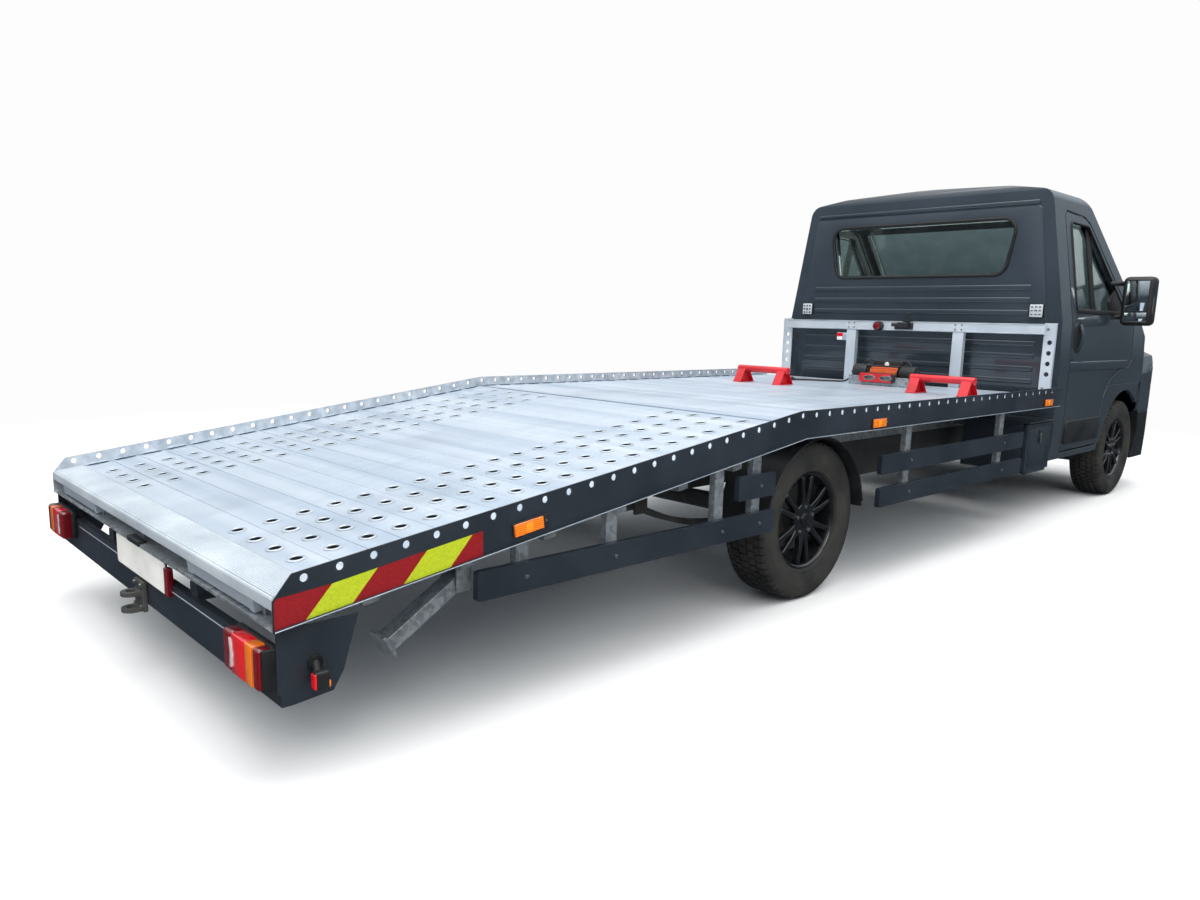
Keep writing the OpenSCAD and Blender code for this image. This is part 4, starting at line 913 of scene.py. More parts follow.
# ---- Side rails ----
# Folded steel side rails: powder-coated anthracite outside, left bright galvanised on the
# inner face, with a bright folded lip below and a row of lashing holes along the top.
powder, powder_shader = surface("anthracite powder coat", "#20272f", 0.42, Coat_Weight=0.25,
    Coat_Roughness=0.2)
clouded(powder, powder_shader, ("#1d242c", "#262e38"), 0.35, 0.0022, 0.0005, (0.34, 0.5))
rail_coat, rail_shader = surface("powder coat over bright zinc", "#20272f", 0.42, Coat_Weight=0.25,
    Coat_Roughness=0.2)
powder_tone, _, powder_where = clouded(rail_coat, rail_shader, ("#1d242c", "#262e38"), 0.35, 0.0022,
    0.0005, (0.34, 0.5))
powder_tree = rail_coat.node_tree
# Seen from inside the platform the same sheet is bright zinc
inward = add(powder_tree, "Math", {0: add(powder_tree, "SeparateXYZ",
    {0: place_on(powder_tree)}).outputs["X"]}, operation="ABSOLUTE")
bare = add(powder_tree, "Math", {0: inward.outputs[0], 1: 1.0962}, operation="LESS_THAN")
bright = add(powder_tree, "TexNoise", {"Vector": powder_where, "Scale": 24.0, "Detail": 4.0})
bright_tone = add(powder_tree, "ValToRGB", {0: bright.outputs[0]}, stops=[(0.35, "#b4bbc2"),
    (0.65, "#d5dade")])
both = add(powder_tree, "Mix", {0: bare.outputs[0], 6: powder_tone.outputs[0],
    7: bright_tone.outputs[0]}, data_type="RGBA")
powder_tree.links.new(both.outputs[2], rail_shader.inputs["Base Color"])
powder_metal = add(powder_tree, "Math", {0: bare.outputs[0], 1: 0.7}, operation="MULTIPLY")
powder_tree.links.new(powder_metal.outputs[0], rail_shader.inputs["Metallic"])
wear("side_rails", rail_coat)
TAIL = 6.502                         # rear edge of the platform
RAIL_TOP = 0.865                     # top edge of the rails on the level part
rail_lip = []
for s in (-1, 1):
    line = [(1.522, 0.7515), (4.262, 0.7515), (6.500, 0.4405)]
    rail_lip.append(beading("lip", [(s * 1.1045, back(y), z) for y, z in line], 0.0022, False, 2))
lip = paint(join("rail_lips", rail_lip), alloy)
settle(lip, "base", slot="rail_grey")


def rail_top(y):
    """Height of the side rail's top edge."""
    return RAIL_TOP if y < KINK else RAIL_TOP - (y - KINK) * math.tan(SLOPE)


# Retro-reflective tape along the tail: leaning blocks of red and fluorescent yellow. Cast
# film over tiny prisms, so it glitters in cells of a few millimetres.
tape_red, tape_red_shader = surface("red prismatic film", "#9c0d17", 0.3, Coat_Weight=0.6,
    Coat_Roughness=0.1)
tape_yellow, tape_yellow_shader = surface("fluorescent yellow prismatic film", "#d3e416", 0.3,
    Coat_Weight=0.6, Coat_Roughness=0.1)
for made, shader, tones in ((tape_red, tape_red_shader, ("#7f040c", "#930812")),
        (tape_yellow, tape_yellow_shader, ("#a4b302", "#b7c40a"))):
    tree = made.node_tree
    cell = add(tree, "TexVoronoi", {"Vector": place_on(tree), "Scale": 1 / 0.004})
    tone = add(tree, "ValToRGB", {0: cell.outputs["Color"]}, stops=[(0.2, tones[0]),
        (0.8, tones[1])])
    tree.links.new(tone.outputs[0], shader.inputs["Base Color"])
    facet = add(tree, "Bump", {"Height": cell.outputs["Distance"], "Strength": 0.25,
        "Distance": 0.0006})
    tree.links.new(facet.outputs[0], shader.inputs["Normal"])


def tape_foot(y):
    return rail_top(y) - 0.125 - 0.0075 * (y - 5.88) / 0.62


# lower corners between the blocks, the last one runs to the tail
cuts = [5.878, 5.990, 6.141, 6.292, 6.421]
lean = 0.075                         # how far each block's top leans forwards
TAPE_HIGH = 0.072
TAPE_END = 6.4985
for s, side in ((1, "left"), (-1, "right")):
    blocks = []
    edges = cuts + [None]
    for i in range(5):
        y0, y1 = edges[i], edges[i + 1]
        top_shift = 0 if i == 0 else lean
        if y1 is None:
            pts = [(y0, tape_foot(y0)), (TAPE_END, tape_foot(TAPE_END)),
                (TAPE_END, rail_top(6.451) - 0.0635),
                (6.4890, rail_top(6.489) - 0.125 + TAPE_HIGH + 0.002), (y0 - top_shift,
                tape_foot(y0 - top_shift) + TAPE_HIGH)]
        else:
            pts = [(y0, tape_foot(y0)), (y1, tape_foot(y1)),
                (y1 - lean, tape_foot(y1 - lean) + TAPE_HIGH), (y0 - top_shift,
                tape_foot(y0 - top_shift) + TAPE_HIGH)]
        block = plate("tape", [(back(y), z) for y, z in pts], 0, s * 1.0999, s * 1.1008, 0)
        paint(block, tape_red if i % 2 == 0 else tape_yellow)
        blocks.append(block)
    settle(join("reflective_tape_" + side, blocks), "base")

# ---- Tread plate at the tail ----
# One wide ribbed aluminium extrusion closes the deck: fine ribs 5.5 mm apart along the tail.
tread_run0, tread_run1 = 2.1025, 2.2170
step_points = []
count = 15
for i in range(count):
    a = tread_run0 + 0.004 + (tread_run1 - tread_run0 - 0.009) * i / count
    b = a + (tread_run1 - tread_run0 - 0.009) / count
    step_points += [(a, 0.0), (a + 0.0012, 0.0028), (b - 0.0014, 0.0028), (b - 0.0002, 0.0)]
side_line = [(tread_run0, -0.022)] + [(tread_run0, -0.001)] + step_points + [(tread_run1, -0.001),
    (tread_run1, -0.022)]
points = [spot(0, run, rise + 0.003) for run, rise in side_line]
tread_plate = plate("tread_plate", [(p.y, p.z) for p in points], 0, -1.094, 1.094, 0)
nose = spot(0, 2.2170)
lip_bar = bar("lip", (-1.094, 1.094), (nose.y - 0.012, nose.y + 0.002), (nose.z - 0.031,
    nose.z + 0.0005), 0.003, 3)
tread_plate = paint(join("ribbed_tread_plate", [tread_plate, lip_bar]), mill)
settle(tread_plate, "base", "rear_tread_plate", slot="aluminium")

# ---- Tail beam ----
# Folded steel under-run beam on two side plates, powder-coated with the rails; its face
# carries the tail lamps, the plate and the towing jaw.
rounded("rear_bumper", "tail_beam", 0.002, powder, "paint")
beam_face = back(TAIL - 0.0195)
# A thin bright aluminium line across the beam face: a painted highlight
strip = paint(bar("light_line", (-0.80, 0.80), (beam_face - 0.002, beam_face + 0.0018),
    (0.3405, 0.3435), 0.0008, 1), alloy)
settle(strip, "base", slot="aluminium")

# ---- Tail lamps ----
# Moulded acrylic lenses in dark red, clear, red and amber over a black tray; ribs inside
# the lens break the colour into fine lines.
def lens(name, tones, ribs_mm):
    made, shader = surface(name, tones[0], 0.12, 0.0, Coat_Weight=1.0, Coat_Roughness=0.03)
    tree = made.node_tree
    wave = add(tree, "TexWave", {"Vector": place_on(tree),
        "Scale": 2 * math.pi / (ribs_mm / 1000) / 20, "Distortion": 0.0}, bands_direction="X")
    rise = add(tree, "TexWave", {"Vector": place_on(tree),
        "Scale": 2 * math.pi / (ribs_mm / 1000) / 20, "Distortion": 0.0}, bands_direction="Z")
    grid = add(tree, "Math", {0: wave.outputs[0], 1: rise.outputs[0]}, operation="MULTIPLY")
    tone = add(tree, "ValToRGB", {0: grid.outputs[0]}, stops=[(0.05, tones[0]), (0.9, tones[1])])
    tree.links.new(tone.outputs[0], shader.inputs["Base Color"])
    dent = add(tree, "Bump", {"Height": grid.outputs[0], "Strength": 0.15, "Distance": 0.001})
    tree.links.new(dent.outputs[0], shader.inputs["Normal"])
    return made


lens_dark = lens("dark red acrylic lens", ("#5c060d", "#9a101c"), 5)
lens_red = lens("red acrylic lens", ("#c80d16", "#f5242b"), 6)
lens_amber = lens("amber acrylic lens", ("#d4610c", "#ff9a2a"), 6)
lens_white = lens("clear acrylic lens", ("#c3a9ab", "#f4eeee"), 6)
for s, side in ((1, "left"), (-1, "right")):
    x0, x1 = 0.848, 1.078
    face, depth = back(TAIL - 0.0195), 0.052
    outline = softened([(x0, 0.281), (x1, 0.281), (x1, 0.399), (x0, 0.399)], 0.016, 5)
    tray = paint(plate("tray", outline, 1, face, face + 0.016, 0.003), abs_black)
    parts = [tray]
    # Four lens fields, their faces bowed a little
    fields = [(0.850, 0.905, lens_dark), (0.905, 0.992, lens_red), (0.992, 1.040, lens_amber),
        (1.040, 1.074, lens_dark)]
    for a, b, finish in fields:
        field = bar("field", (a + 0.0004, b - 0.0004), (face + 0.012, face + depth), (0.285, 0.395),
            0.0055 if finish is not lens_dark else 0.010, 3)
        parts.append(paint(field, finish))
    moon = softened([(0.893, 0.298), (0.913, 0.303), (0.921, 0.340), (0.913, 0.377), (0.893, 0.382),
        (0.901, 0.340)], 0.004, 2)
    parts.append(paint(plate("moon", moon, 1, face + depth - 0.004, face + depth + 0.0015, 0.0008),
        lens_white))
    cap = paint(bar("cap", (1.0745, 1.0855), (face - 0.02, face + 0.044), (0.286, 0.394), 0.004, 3),
        seal)
    parts.append(cap)
    group = join("tail_lamp_" + side, parts)
    if s < 0:
        group.data.transform(Matrix.Scale(-1, 4, (1, 0, 0)))
        group.data.flip_normals()
    if s > 0:
        settle(group, "base", "tail_lamps", slot="red_lens")
    else:
        settle(group, "base", slot="red_lens")

# ---- Blank plate with its lamp ----
# Embossed aluminium plate, painted white and left blank, in a black frame; a small red
# piece stands at its right end.
enamel_white, enamel_white_shader = surface("white stoved enamel", "#eceae4", 0.35, Coat_Weight=0.4)
clouded(enamel_white, enamel_white_shader, ("#e2e0d9", "#f3f2ee"), 0.12, 0.003, 0.0002,
    (0.28, 0.42))
low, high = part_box("number_plate")
frame_bar = paint(plate("surround", softened([(low.x - 0.004, low.z - 0.004), (high.x + 0.004,
    low.z - 0.004), (high.x + 0.004, high.z + 0.004), (low.x - 0.004, high.z + 0.004)], 0.010), 1,
    low.y, low.y + 0.004, 0.001), abs_black)
face = paint(plate("blank", softened([(low.x + 0.003, low.z + 0.003), (high.x - 0.003,
    low.z + 0.003), (high.x - 0.003, high.z - 0.003), (low.x + 0.003, high.z - 0.003)], 0.010), 1,
    low.y + 0.003, low.y + 0.0065, 0.001), enamel_white)
pick(face, lambda c, n: n.y > 0.95)
bpy.ops.mesh.inset(thickness=0.005, depth=0.0)
bpy.ops.transform.translate(value=(0, -0.0008, 0))
bpy.ops.object.mode_set(mode="OBJECT")
red_end = paint(bar("end", (low.x - 0.040, low.x - 0.006), (low.y - 0.006, low.y + 0.014),
    (low.z + 0.006, high.z - 0.012), 0.004), lens_dark)
plate_lamp = paint(bar("lamp", (-0.06, 0.06), (low.y - 0.004, low.y + 0.026), (high.z + 0.010,
    high.z + 0.030), 0.005, 3), abs_black)
settle(join("blank_plate", [frame_bar, face, red_end, plate_lamp]), "base", "number_plate",
    slot="plate_white")

# ---- Towing jaw ----
# Two thick cast plates on a bolted back plate, painted black.
rounded("tow_hitch", "towing_jaw", 0.003, primer, "cast_steel")
bolts = []
for x in (-0.032, 0.032):
    for z in (0.226, 0.300):
        bolts.append(rod("bolt", (x, back(6.496), z), (x, back(6.505), z), 0.0085, 0.001, 6))
settle(paint(join("jaw_bolts", bolts), bolt_steel), "base", slot="cast_steel")

# ---- Outline lamps ----
# Red and amber marker lamps on bent rubber arms at both ends of the beam.
for s, side in ((1, "left"), (-1, "right")):
    y, z = back(TAIL - 0.110), 0.280
    arm = beading("arm", [(1.088 + 0.006 * k, y + 0.002 * k * k / 6, z + 0.055 - 0.010 * k)
        for k in range(6)], 0.013, False, 5)
    foot = rod("foot", (1.086, y, z + 0.055), (1.094, y, z + 0.055), 0.021, 0.003, 24)
    stud = paint(rod("stud", (1.093, y, z + 0.055), (1.0985, y, z + 0.055), 0.007, 0.002, 16),
        bolt_steel)
    head = bar("head", (1.106, 1.132), (y - 0.020, y + 0.020), (z - 0.006, z + 0.042), 0.006, 3)
    parts = [paint(arm, seal), paint(foot, seal), paint(head, abs_black), stud]
    parts.append(paint(bar("red", (1.107, 1.131), (y + 0.014, y + 0.0225), (z - 0.003, z + 0.038),
        0.0035, 3), lens_red))
    parts.append(paint(bar("amber", (1.107, 1.131), (y - 0.0225, y - 0.012), (z - 0.003, z + 0.016),
        0.0035, 3), lens_amber))
    group = join("outline_lamp_" + side, parts)
    if s < 0:
        group.data.transform(Matrix.Scale(-1, 4, (1, 0, 0)))
        group.data.flip_normals()
    settle(group, "base", slot="amber_lens")

# ---- Side guards ----
# Flat powder-coated rails in two rows on bright galvanised uprights keep feet and wheels
# from under the platform.
rounded("side_guards", "guard_rails", 0.002, powder, "paint")
uprights = []
for y in (2.253, 3.326, 4.530, 4.760, 5.322, 5.702):
    top = 0.746 if y < 4.263 else 0.746 - (y - 4.263) / 2.239 * (0.751 - 0.4405) - 0.004
    foot = 0.385 if y < 4 else 0.400
    for s in (-1, 1):
        cover = bar("upright", sorted((s * 1.0615, s * 1.0585)), (back(y - 0.0245),
            back(y + 0.0245)), (foot, top), 0.001, 1)
        flank_a = bar("upright", sorted((s * 1.0605, s * 1.0325)), (back(y - 0.0255),
            back(y - 0.0222)), (foot, top), 0.001, 1)
        flank_b = bar("upright", sorted((s * 1.0605, s * 1.0325)), (back(y + 0.0222),
            back(y + 0.0255)), (foot, top), 0.001, 1)
        uprights += [cover, flank_a, flank_b]
settle(paint(join("guard_uprights", uprights), zinc), "base", slot="galvanised")
heads = []
for y, zs in ((2.253, (0.420, 0.575)), (3.326, (0.420, 0.575)), (4.760, (0.431,)),
        (5.322, (0.431,)), (5.702, (0.431,)), (4.530, (0.431, 0.582))):
    for z in zs:
        for s in (-1, 1):
            heads.append(rod("head", (s * 1.0845, back(y), z), (s * 1.0890, back(y), z), 0.0085,
                0.0012, 6))
settle(paint(join("guard_bolts", heads), bolt_steel), "base", slot="cast_steel")

# ---- Marker lamps ----
# Amber side markers: a ribbed acrylic lens with a reflex centre, clipped in a black tray.
lens_reflex = lens("bright amber reflex", ("#ff8a12", "#ffc24a"), 3)
parts = []
for s in (-1, 1):
    for y in (1.711, 3.690, 5.708):
        z = rail_top(y) - 0.084
        made = [paint(bar("tray", (0.0, 0.0065), (-0.072, 0.066), (-0.023, 0.023), 0.003, 2),
            abs_black),
                paint(bar("lens", (0.004, 0.0118), (-0.050, 0.062), (-0.0195, 0.0195), 0.0036, 3),
                lens_amber),
                paint(bar("reflex", (0.009, 0.0125), (-0.008, 0.020), (-0.013, 0.013), 0.0028, 3),
                lens_reflex),
                paint(rod("screw", (0.006, -0.062, 0), (0.0085, -0.062, 0), 0.0045, 0.0008, 12),
                bolt_steel)]
        group = join("marker", made)
        lean_angle = -SLOPE if y > KINK else 0.0
        at = Matrix.Translation((s * 1.1, back(y), z)) @ Matrix.Rotation(lean_angle, 4, "X")
        if s < 0:
            at = at @ Matrix.Scale(-1, 4, (1, 0, 0))
            group.data.flip_normals()
        group.data.transform(at)
        parts.append(group)
# Square work lamps on the cab's rear wall: a white face with a grid of light cells
for x in (-0.850, 0.850):
    housing = paint(bar("housing", (x - 0.044, x + 0.044), (CAB_REAR + 0.001, CAB_REAR + 0.024),
        (1.286, 1.374), 0.007, 3), abs_black)
    cover = paint(bar("cover", (x - 0.040, x + 0.040), (CAB_REAR + 0.020, CAB_REAR + 0.0275),
        (1.290, 1.370), 0.0035, 2), lens_clear)
    cells = []
    for i in range(3):
        for k in range(3):
            if (i, k) != (1, 1):
                cells.append(rod("cell", (x - 0.024 + i * 0.024, CAB_REAR + 0.0268,
                    1.306 + k * 0.024),
                                 (x - 0.024 + i * 0.024, CAB_REAR + 0.0292, 1.306 + k * 0.024),
                                 0.0085, 0.0012, 16))
    cells.append(rod("cell", (x, CAB_REAR + 0.0268, 1.330), (x, CAB_REAR + 0.0298, 1.330), 0.0100,
        0.0012, 24))
    parts += [housing, cover, paint(join("cells", cells), mirror_glass)]
settle(join("marker_and_work_lamps", parts), "base", "lamps", slot="amber_lens")

# ---- Headboard ----
# Folded aluminium top rail on two posts, with slotted end brackets; a round lamp and a
# bracket with a camera stand on the rail.
wear("headboard", mill)
board_face = back(1.4775)
# Thin strips of the brighter aluminium along the top and lower edges of the rail face: painted highlights where the
# folds catch the light
top_edge = paint(bar("edge", (-0.948, 0.948), (board_face - 0.0015, board_face + 0.0012),
    (1.2385, 1.2465), 0.001, 1), painted_highlight_alloy)
low_edge = paint(bar("edge", (-0.948, 0.948), (board_face - 0.0015, board_face + 0.0012),
    (1.1825, 1.1885), 0.001, 1), painted_highlight_alloy)
parts = [top_edge, low_edge]
for s in (-1, 1):
    parts.append(paint(beading("bead", [(s * 1.0085, back(1.4455), z) for z in (0.83, 1.25)], 0.004,
        False, 3), alloy))
    for z in (0.845, 1.215):
        parts.append(paint(rod("bolt", (s * 0.960, back(1.4440), z), (s * 0.960, back(1.4500), z),
            0.009, 0.001, 6), bolt_steel))
for x in (-0.400, 0.400):
    for z in (1.200, 1.230):
        for dx in (-0.022, 0.022):
            parts.append(paint(rod("bolt", (x + dx, board_face - 0.002, z),
                (x + dx, board_face + 0.0045, z), 0.006, 0.001, 6), bolt_steel))
settle(join("headboard_trim", parts), "base", slot="aluminium")
# The lamp and the camera on the rail
lamp_parts = [rod("can", (0.175, board_face - 0.002, 1.212), (0.175, board_face + 0.034, 1.212),
    0.034, 0.006, 32, 0.030, 3),
              rod("rim", (0.175, board_face + 0.032, 1.212), (0.175, board_face + 0.042, 1.212),
              0.0325, 0.003, 32),
              bar("plate", (-0.080, 0.060), (board_face - 0.002, board_face + 0.006),
              (1.192, 1.236), 0.004, 2),
              bar("body", (-0.055, 0.020), (board_face + 0.004, board_face + 0.050), (1.200, 1.240),
              0.008, 3),
              bar("clamp", (-0.060, -0.010), (back(1.440), board_face + 0.030), (1.2440, 1.2580),
              0.003, 2),
              rod("knob", (-0.035, board_face + 0.006, 1.250), (-0.035, board_face + 0.006, 1.298),
              0.0085, 0.002, 20),
              rod("knob", (-0.035, board_face + 0.006, 1.292), (-0.035, board_face + 0.006, 1.306),
              0.0155, 0.003, 20),
              rod("snout", (0.012, board_face + 0.030, 1.220), (0.062, board_face + 0.042, 1.224),
              0.0125, 0.002, 24)]
lamp_group = paint(join("rail_lamp_and_camera", lamp_parts), abs_black)
glow = paint(rod("glow", (0.175, board_face + 0.0405, 1.212), (0.175, board_face + 0.0430, 1.212),
    0.0255, 0.001, 32), lens_dark)
eye = paint(rod("eye", (0.0615, board_face + 0.0418, 1.2240), (0.0650, board_face + 0.0426, 1.2242),
    0.0085, 0.001, 24), mirror_glass)
settle(join("rail_lamp_and_camera", [lamp_group, glow, eye]), "base", slot="black_plastic")
tag_red = paint(bar("tag", (0.470, 0.515), (back(1.474), back(1.4785)), (1.1300, 1.1550), 0.001, 1),
    lens_red)
tag_white = paint(bar("tag", (0.470, 0.515), (back(1.474), back(1.4785)), (1.1050, 1.1290), 0.001,
    1), enamel_white)
tag_back = paint(bar("tag", (0.430, 0.518), (back(1.470), back(1.4745)), (1.1020, 1.1580), 0.002,
    2), alloy)
settle(join("rail_tag", [tag_red, tag_white, tag_back]), "base")

# ---- Winch ----
# An electric winch on an angle-iron foot: motor and gearbox in black alloy at the ends, a
# drum wound with orange synthetic rope, and a red and black fairlead facing the tail.
WX, WY, WZ = -0.050, back(1.760), 0.815
DRUM_Z = WZ + 0.082
foot = [bar("foot", (WX - 0.220, WX + 0.220), (WY - 0.090, WY + 0.090), (WZ, WZ + 0.008), 0.002, 2),
        bar("foot", (WX - 0.220, WX + 0.220), (WY + 0.084, WY + 0.092), (WZ, WZ + 0.060), 0.002, 2)]
for x in (-0.180, 0.180):
    for y in (-0.060, 0.055):
        foot.append(rod("bolt", (WX + x, WY + y, WZ + 0.007), (WX + x, WY + y, WZ + 0.015), 0.011,
            0.0015, 6))
settle(paint(join("winch_foot", foot), zinc), "base", "winch", slot="winch_mix")
case = [rod("motor", (WX - 0.225, WY, DRUM_Z), (WX - 0.125, WY, DRUM_Z), 0.052, 0.006, 40, steps=3),
        rod("motor_cap", (WX - 0.229, WY, DRUM_Z), (WX - 0.222, WY, DRUM_Z), 0.044, 0.003, 40),
        rod("gear", (WX + 0.120, WY, DRUM_Z), (WX + 0.222, WY, DRUM_Z), 0.055, 0.008, 40, steps=3),
        rod("gear_ring", (WX + 0.150, WY, DRUM_Z), (WX + 0.170, WY, DRUM_Z), 0.0575, 0.003, 40),
        rod("gear_lid", (WX + 0.219, WY, DRUM_Z), (WX + 0.227, WY, DRUM_Z), 0.036, 0.003, 32),
        bar("box", (WX - 0.110, WX + 0.105), (WY - 0.070, WY - 0.018), (DRUM_Z + 0.030,
        DRUM_Z + 0.082), 0.007, 3),
        bar("saddle", (WX - 0.200, WX - 0.130), (WY - 0.050, WY + 0.050), (WZ + 0.008, WZ + 0.050),
        0.004, 2),
        bar("saddle", (WX + 0.130, WX + 0.200), (WY - 0.050, WY + 0.050), (WZ + 0.008, WZ + 0.050),
        0.004, 2),
        beading("tie", [(WX - 0.125, WY - 0.046, DRUM_Z), (WX + 0.125, WY - 0.046, DRUM_Z)], 0.006,
        False, 3),
        beading("tie", [(WX - 0.125, WY + 0.030, DRUM_Z + 0.046), (WX + 0.125, WY + 0.030,
        DRUM_Z + 0.046)], 0.006, False, 3),
        beading("lead", [(WX - 0.090, WY - 0.060, DRUM_Z + 0.075), (WX - 0.130, WY - 0.050,
        DRUM_Z + 0.078), (WX - 0.165, WY - 0.030, DRUM_Z + 0.064), (WX - 0.180, WY - 0.010,
        DRUM_Z + 0.050)], 0.0065, False, 4),
        beading("lead", [(WX + 0.085, WY - 0.030, DRUM_Z + 0.080), (WX + 0.120, WY - 0.010,
        DRUM_Z + 0.086), (WX + 0.150, WY, DRUM_Z + 0.072), (WX + 0.165, WY, DRUM_Z + 0.055)],
        0.0055, False, 4)]
for i in range(7):
    case.append(rod("fin", (WX - 0.212 + i * 0.013, WY, DRUM_Z), (WX - 0.207 + i * 0.013, WY,
        DRUM_Z), 0.0545, 0.001, 40))
stud = []
for i in range(8):
    a = i * math.pi / 4
    stud.append(rod("stud", (WX + 0.225, WY + 0.047 * math.cos(a), DRUM_Z + 0.047 * math.sin(a)),
        (WX + 0.2285, WY + 0.047 * math.cos(a), DRUM_Z + 0.047 * math.sin(a)), 0.0045, 0.0006, 8))
black_case = paint(join("winch_case", case), abs_black)
bright = paint(join("studs", stud), bolt_steel)
badge = paint(rod("disc", (WX + 0.000, WY - 0.0175, DRUM_Z + 0.058), (WX + 0.000, WY - 0.0155,
    DRUM_Z + 0.058), 0.016, 0.0006, 24), enamel_white)
settle(join("winch_case", [black_case, bright, badge]), "base", slot="winch_mix")
# Twelve-strand synthetic rope, 9 mm, wound in two layers: each wrap catches the light
rope, rope_shader = surface("orange braided winch rope", "#d9571d", 0.75, Sheen_Weight=0.3,
    Sheen_Roughness=0.4)
rope_tree = rope.node_tree
braid = add(rope_tree, "TexWave", {"Vector": place_on(rope_tree, turn=(0.5, 0.3, 0.6)),
    "Scale": 55.0, "Distortion": 2.0, "Detail": 2.0})
braid_tone = add(rope_tree, "ValToRGB", {0: braid.outputs[0]}, stops=[(0.2, "#a93a0e"),
    (0.8, "#f0722c")])
rope_tree.links.new(braid_tone.outputs[0], rope_shader.inputs["Base Color"])
braid_dent = add(rope_tree, "Bump", {"Height": braid.outputs[0], "Strength": 0.5,
    "Distance": 0.001})
rope_tree.links.new(braid_dent.outputs[0], rope_shader.inputs["Normal"])
ROPE_R = 0.0046
wraps = []
for radius, half, turns in ((0.0290, 0.104, 22), (0.0345, 0.100, 21)):
    line = []
    for k in range(turns * 20 + 1):
        a = 2 * math.pi * k / 20
        line.append((WX - half + 2 * half * k / (turns * 20), WY + radius * math.cos(a),
            DRUM_Z + radius * math.sin(a)))
    wraps.append(beading("wrap", line, ROPE_R, False, 2))
core = rod("core", (WX - 0.110, WY, DRUM_Z), (WX + 0.110, WY, DRUM_Z), 0.0285, 0, 32)
flanges = [rod("flange", (WX + s * 0.108, WY, DRUM_Z), (WX + s * 0.113, WY, DRUM_Z), 0.0480, 0.001,
    40) for s in (-1, 1)]
wound = paint(join("rope", wraps), rope)
drum = paint(join("drum", [core] + flanges), abs_black)
tail_line = [(WX - 0.030, WY + 0.0385 + 0.0055 * k, DRUM_Z - 0.006 - 0.0042 * k) for k in range(9)]
lead = paint(beading("rope_tail", tail_line, ROPE_R, False, 3), rope)
settle(join("winch_drum_and_rope", [wound, drum, lead]), "base", slot="winch_mix")
# Fairlead with two oval windows, one red half and one black half
fair_outline = softened([(WX - 0.130, WZ + 0.018), (WX + 0.130, WZ + 0.018),
    (WX + 0.130, WZ + 0.084), (WX - 0.130, WZ + 0.084)], 0.022, 6)
fair = plate("fairlead", fair_outline, 1, WY + 0.092, WY + 0.112, 0.004, 3)
for x in (-0.068, 0.052):
    fair = opened(fair, plate("hole", softened([(WX + x - 0.042, WZ + 0.036), (WX + x + 0.042,
        WZ + 0.036), (WX + x + 0.042, WZ + 0.066), (WX + x - 0.042, WZ + 0.066)], 0.0148, 6), 1,
        WY + 0.06, WY + 0.14, 0))
# Powder coat in signal red: thick, even, a little chalky on top
signal, signal_shader = surface("signal red powder coat", "#c8121f", 0.4, Coat_Weight=0.3,
    Coat_Roughness=0.15)
clouded(signal, signal_shader, ("#b90f1c", "#d51a28"), 0.12, 0.002, 0.0004, (0.34, 0.5))
fair.data.materials.clear()
fair.data.materials.append(signal)
fair.data.materials.append(abs_black)
for face in fair.data.polygons:
    face.material_index = 0 if face.center.x > WX + 0.005 else 1
rims = [beading("rim", [(WX + x + 0.042 * math.cos(a) * 1.0, WY + 0.112,
    WZ + 0.051 + 0.0152 * math.sin(a)) for a in [2 * math.pi * k / 24 for k in range(24)]], 0.0028,
    True, 3) for x in (-0.068, 0.052)]
settle(join("winch_fairlead", [fair, paint(join("rims", rims), bolt_steel)]), "base",
    slot="winch_mix")
# The winch's control lead lies on the deck beside it
LEAD_R = 0.006
lead_route = [(0.224, -0.030, 0.070), (0.250, -0.030, 0.066), (0.272, -0.022, 0.040),
    (0.290, -0.008, 0.016), (0.315, 0.012, LEAD_R + 0.0004),
              (0.350, 0.042, LEAD_R + 0.0004), (0.392, 0.078, LEAD_R + 0.0004), (0.440, 0.104,
              LEAD_R + 0.0004), (0.492, 0.120, LEAD_R + 0.0004),
              (0.540, 0.145, LEAD_R + 0.0004), (0.576, 0.184, LEAD_R + 0.0004), (0.596, 0.226,
              LEAD_R + 0.0004)]
lead_line = []
for i in range(len(lead_route) - 1):
    p0, p1, p2, p3 = (Vector(lead_route[max(0, min(k, len(lead_route) - 1))]) for k in (i - 1, i,
        i + 1, i + 2))
    for t in (0.0, 0.25, 0.5, 0.75):
        lead_line.append(Vector((WX, WY,
            WZ)) + 0.5 * (2 * p1 + (p2 - p0) * t + (2 * p0 - 5 * p1 + 4 * p2 - p3) * t ** 2 + (3 * p1 - p0 - 3 * p2 + p3) * t ** 3))
lead_line.append(Vector((WX, WY, WZ)) + Vector(lead_route[-1]))
control = settle(paint(beading("winch_control_lead", lead_line, LEAD_R, False, 4), seal), "base",
    slot="black_plastic")
ahead = (lead_line[-1] - lead_line[-3]).normalized()
plug = rod("plug", lead_line[-1] + Vector((0, 0, 0.007)) - ahead * 0.012,
    lead_line[-1] + Vector((0, 0, 0.007)) + ahead * 0.040, 0.0130, 0.003, 24)
collar = rod("collar", lead_line[-1] - ahead * 0.034 + Vector((0, 0, 0.001)),
    lead_line[-1] - ahead * 0.004 + Vector((0, 0, 0.006)), 0.0068, 0.0008, 20, 0.0115)
plug = settle(paint(join("winch_lead_plug", [plug, collar]), abs_black), "base",
    slot="black_plastic")

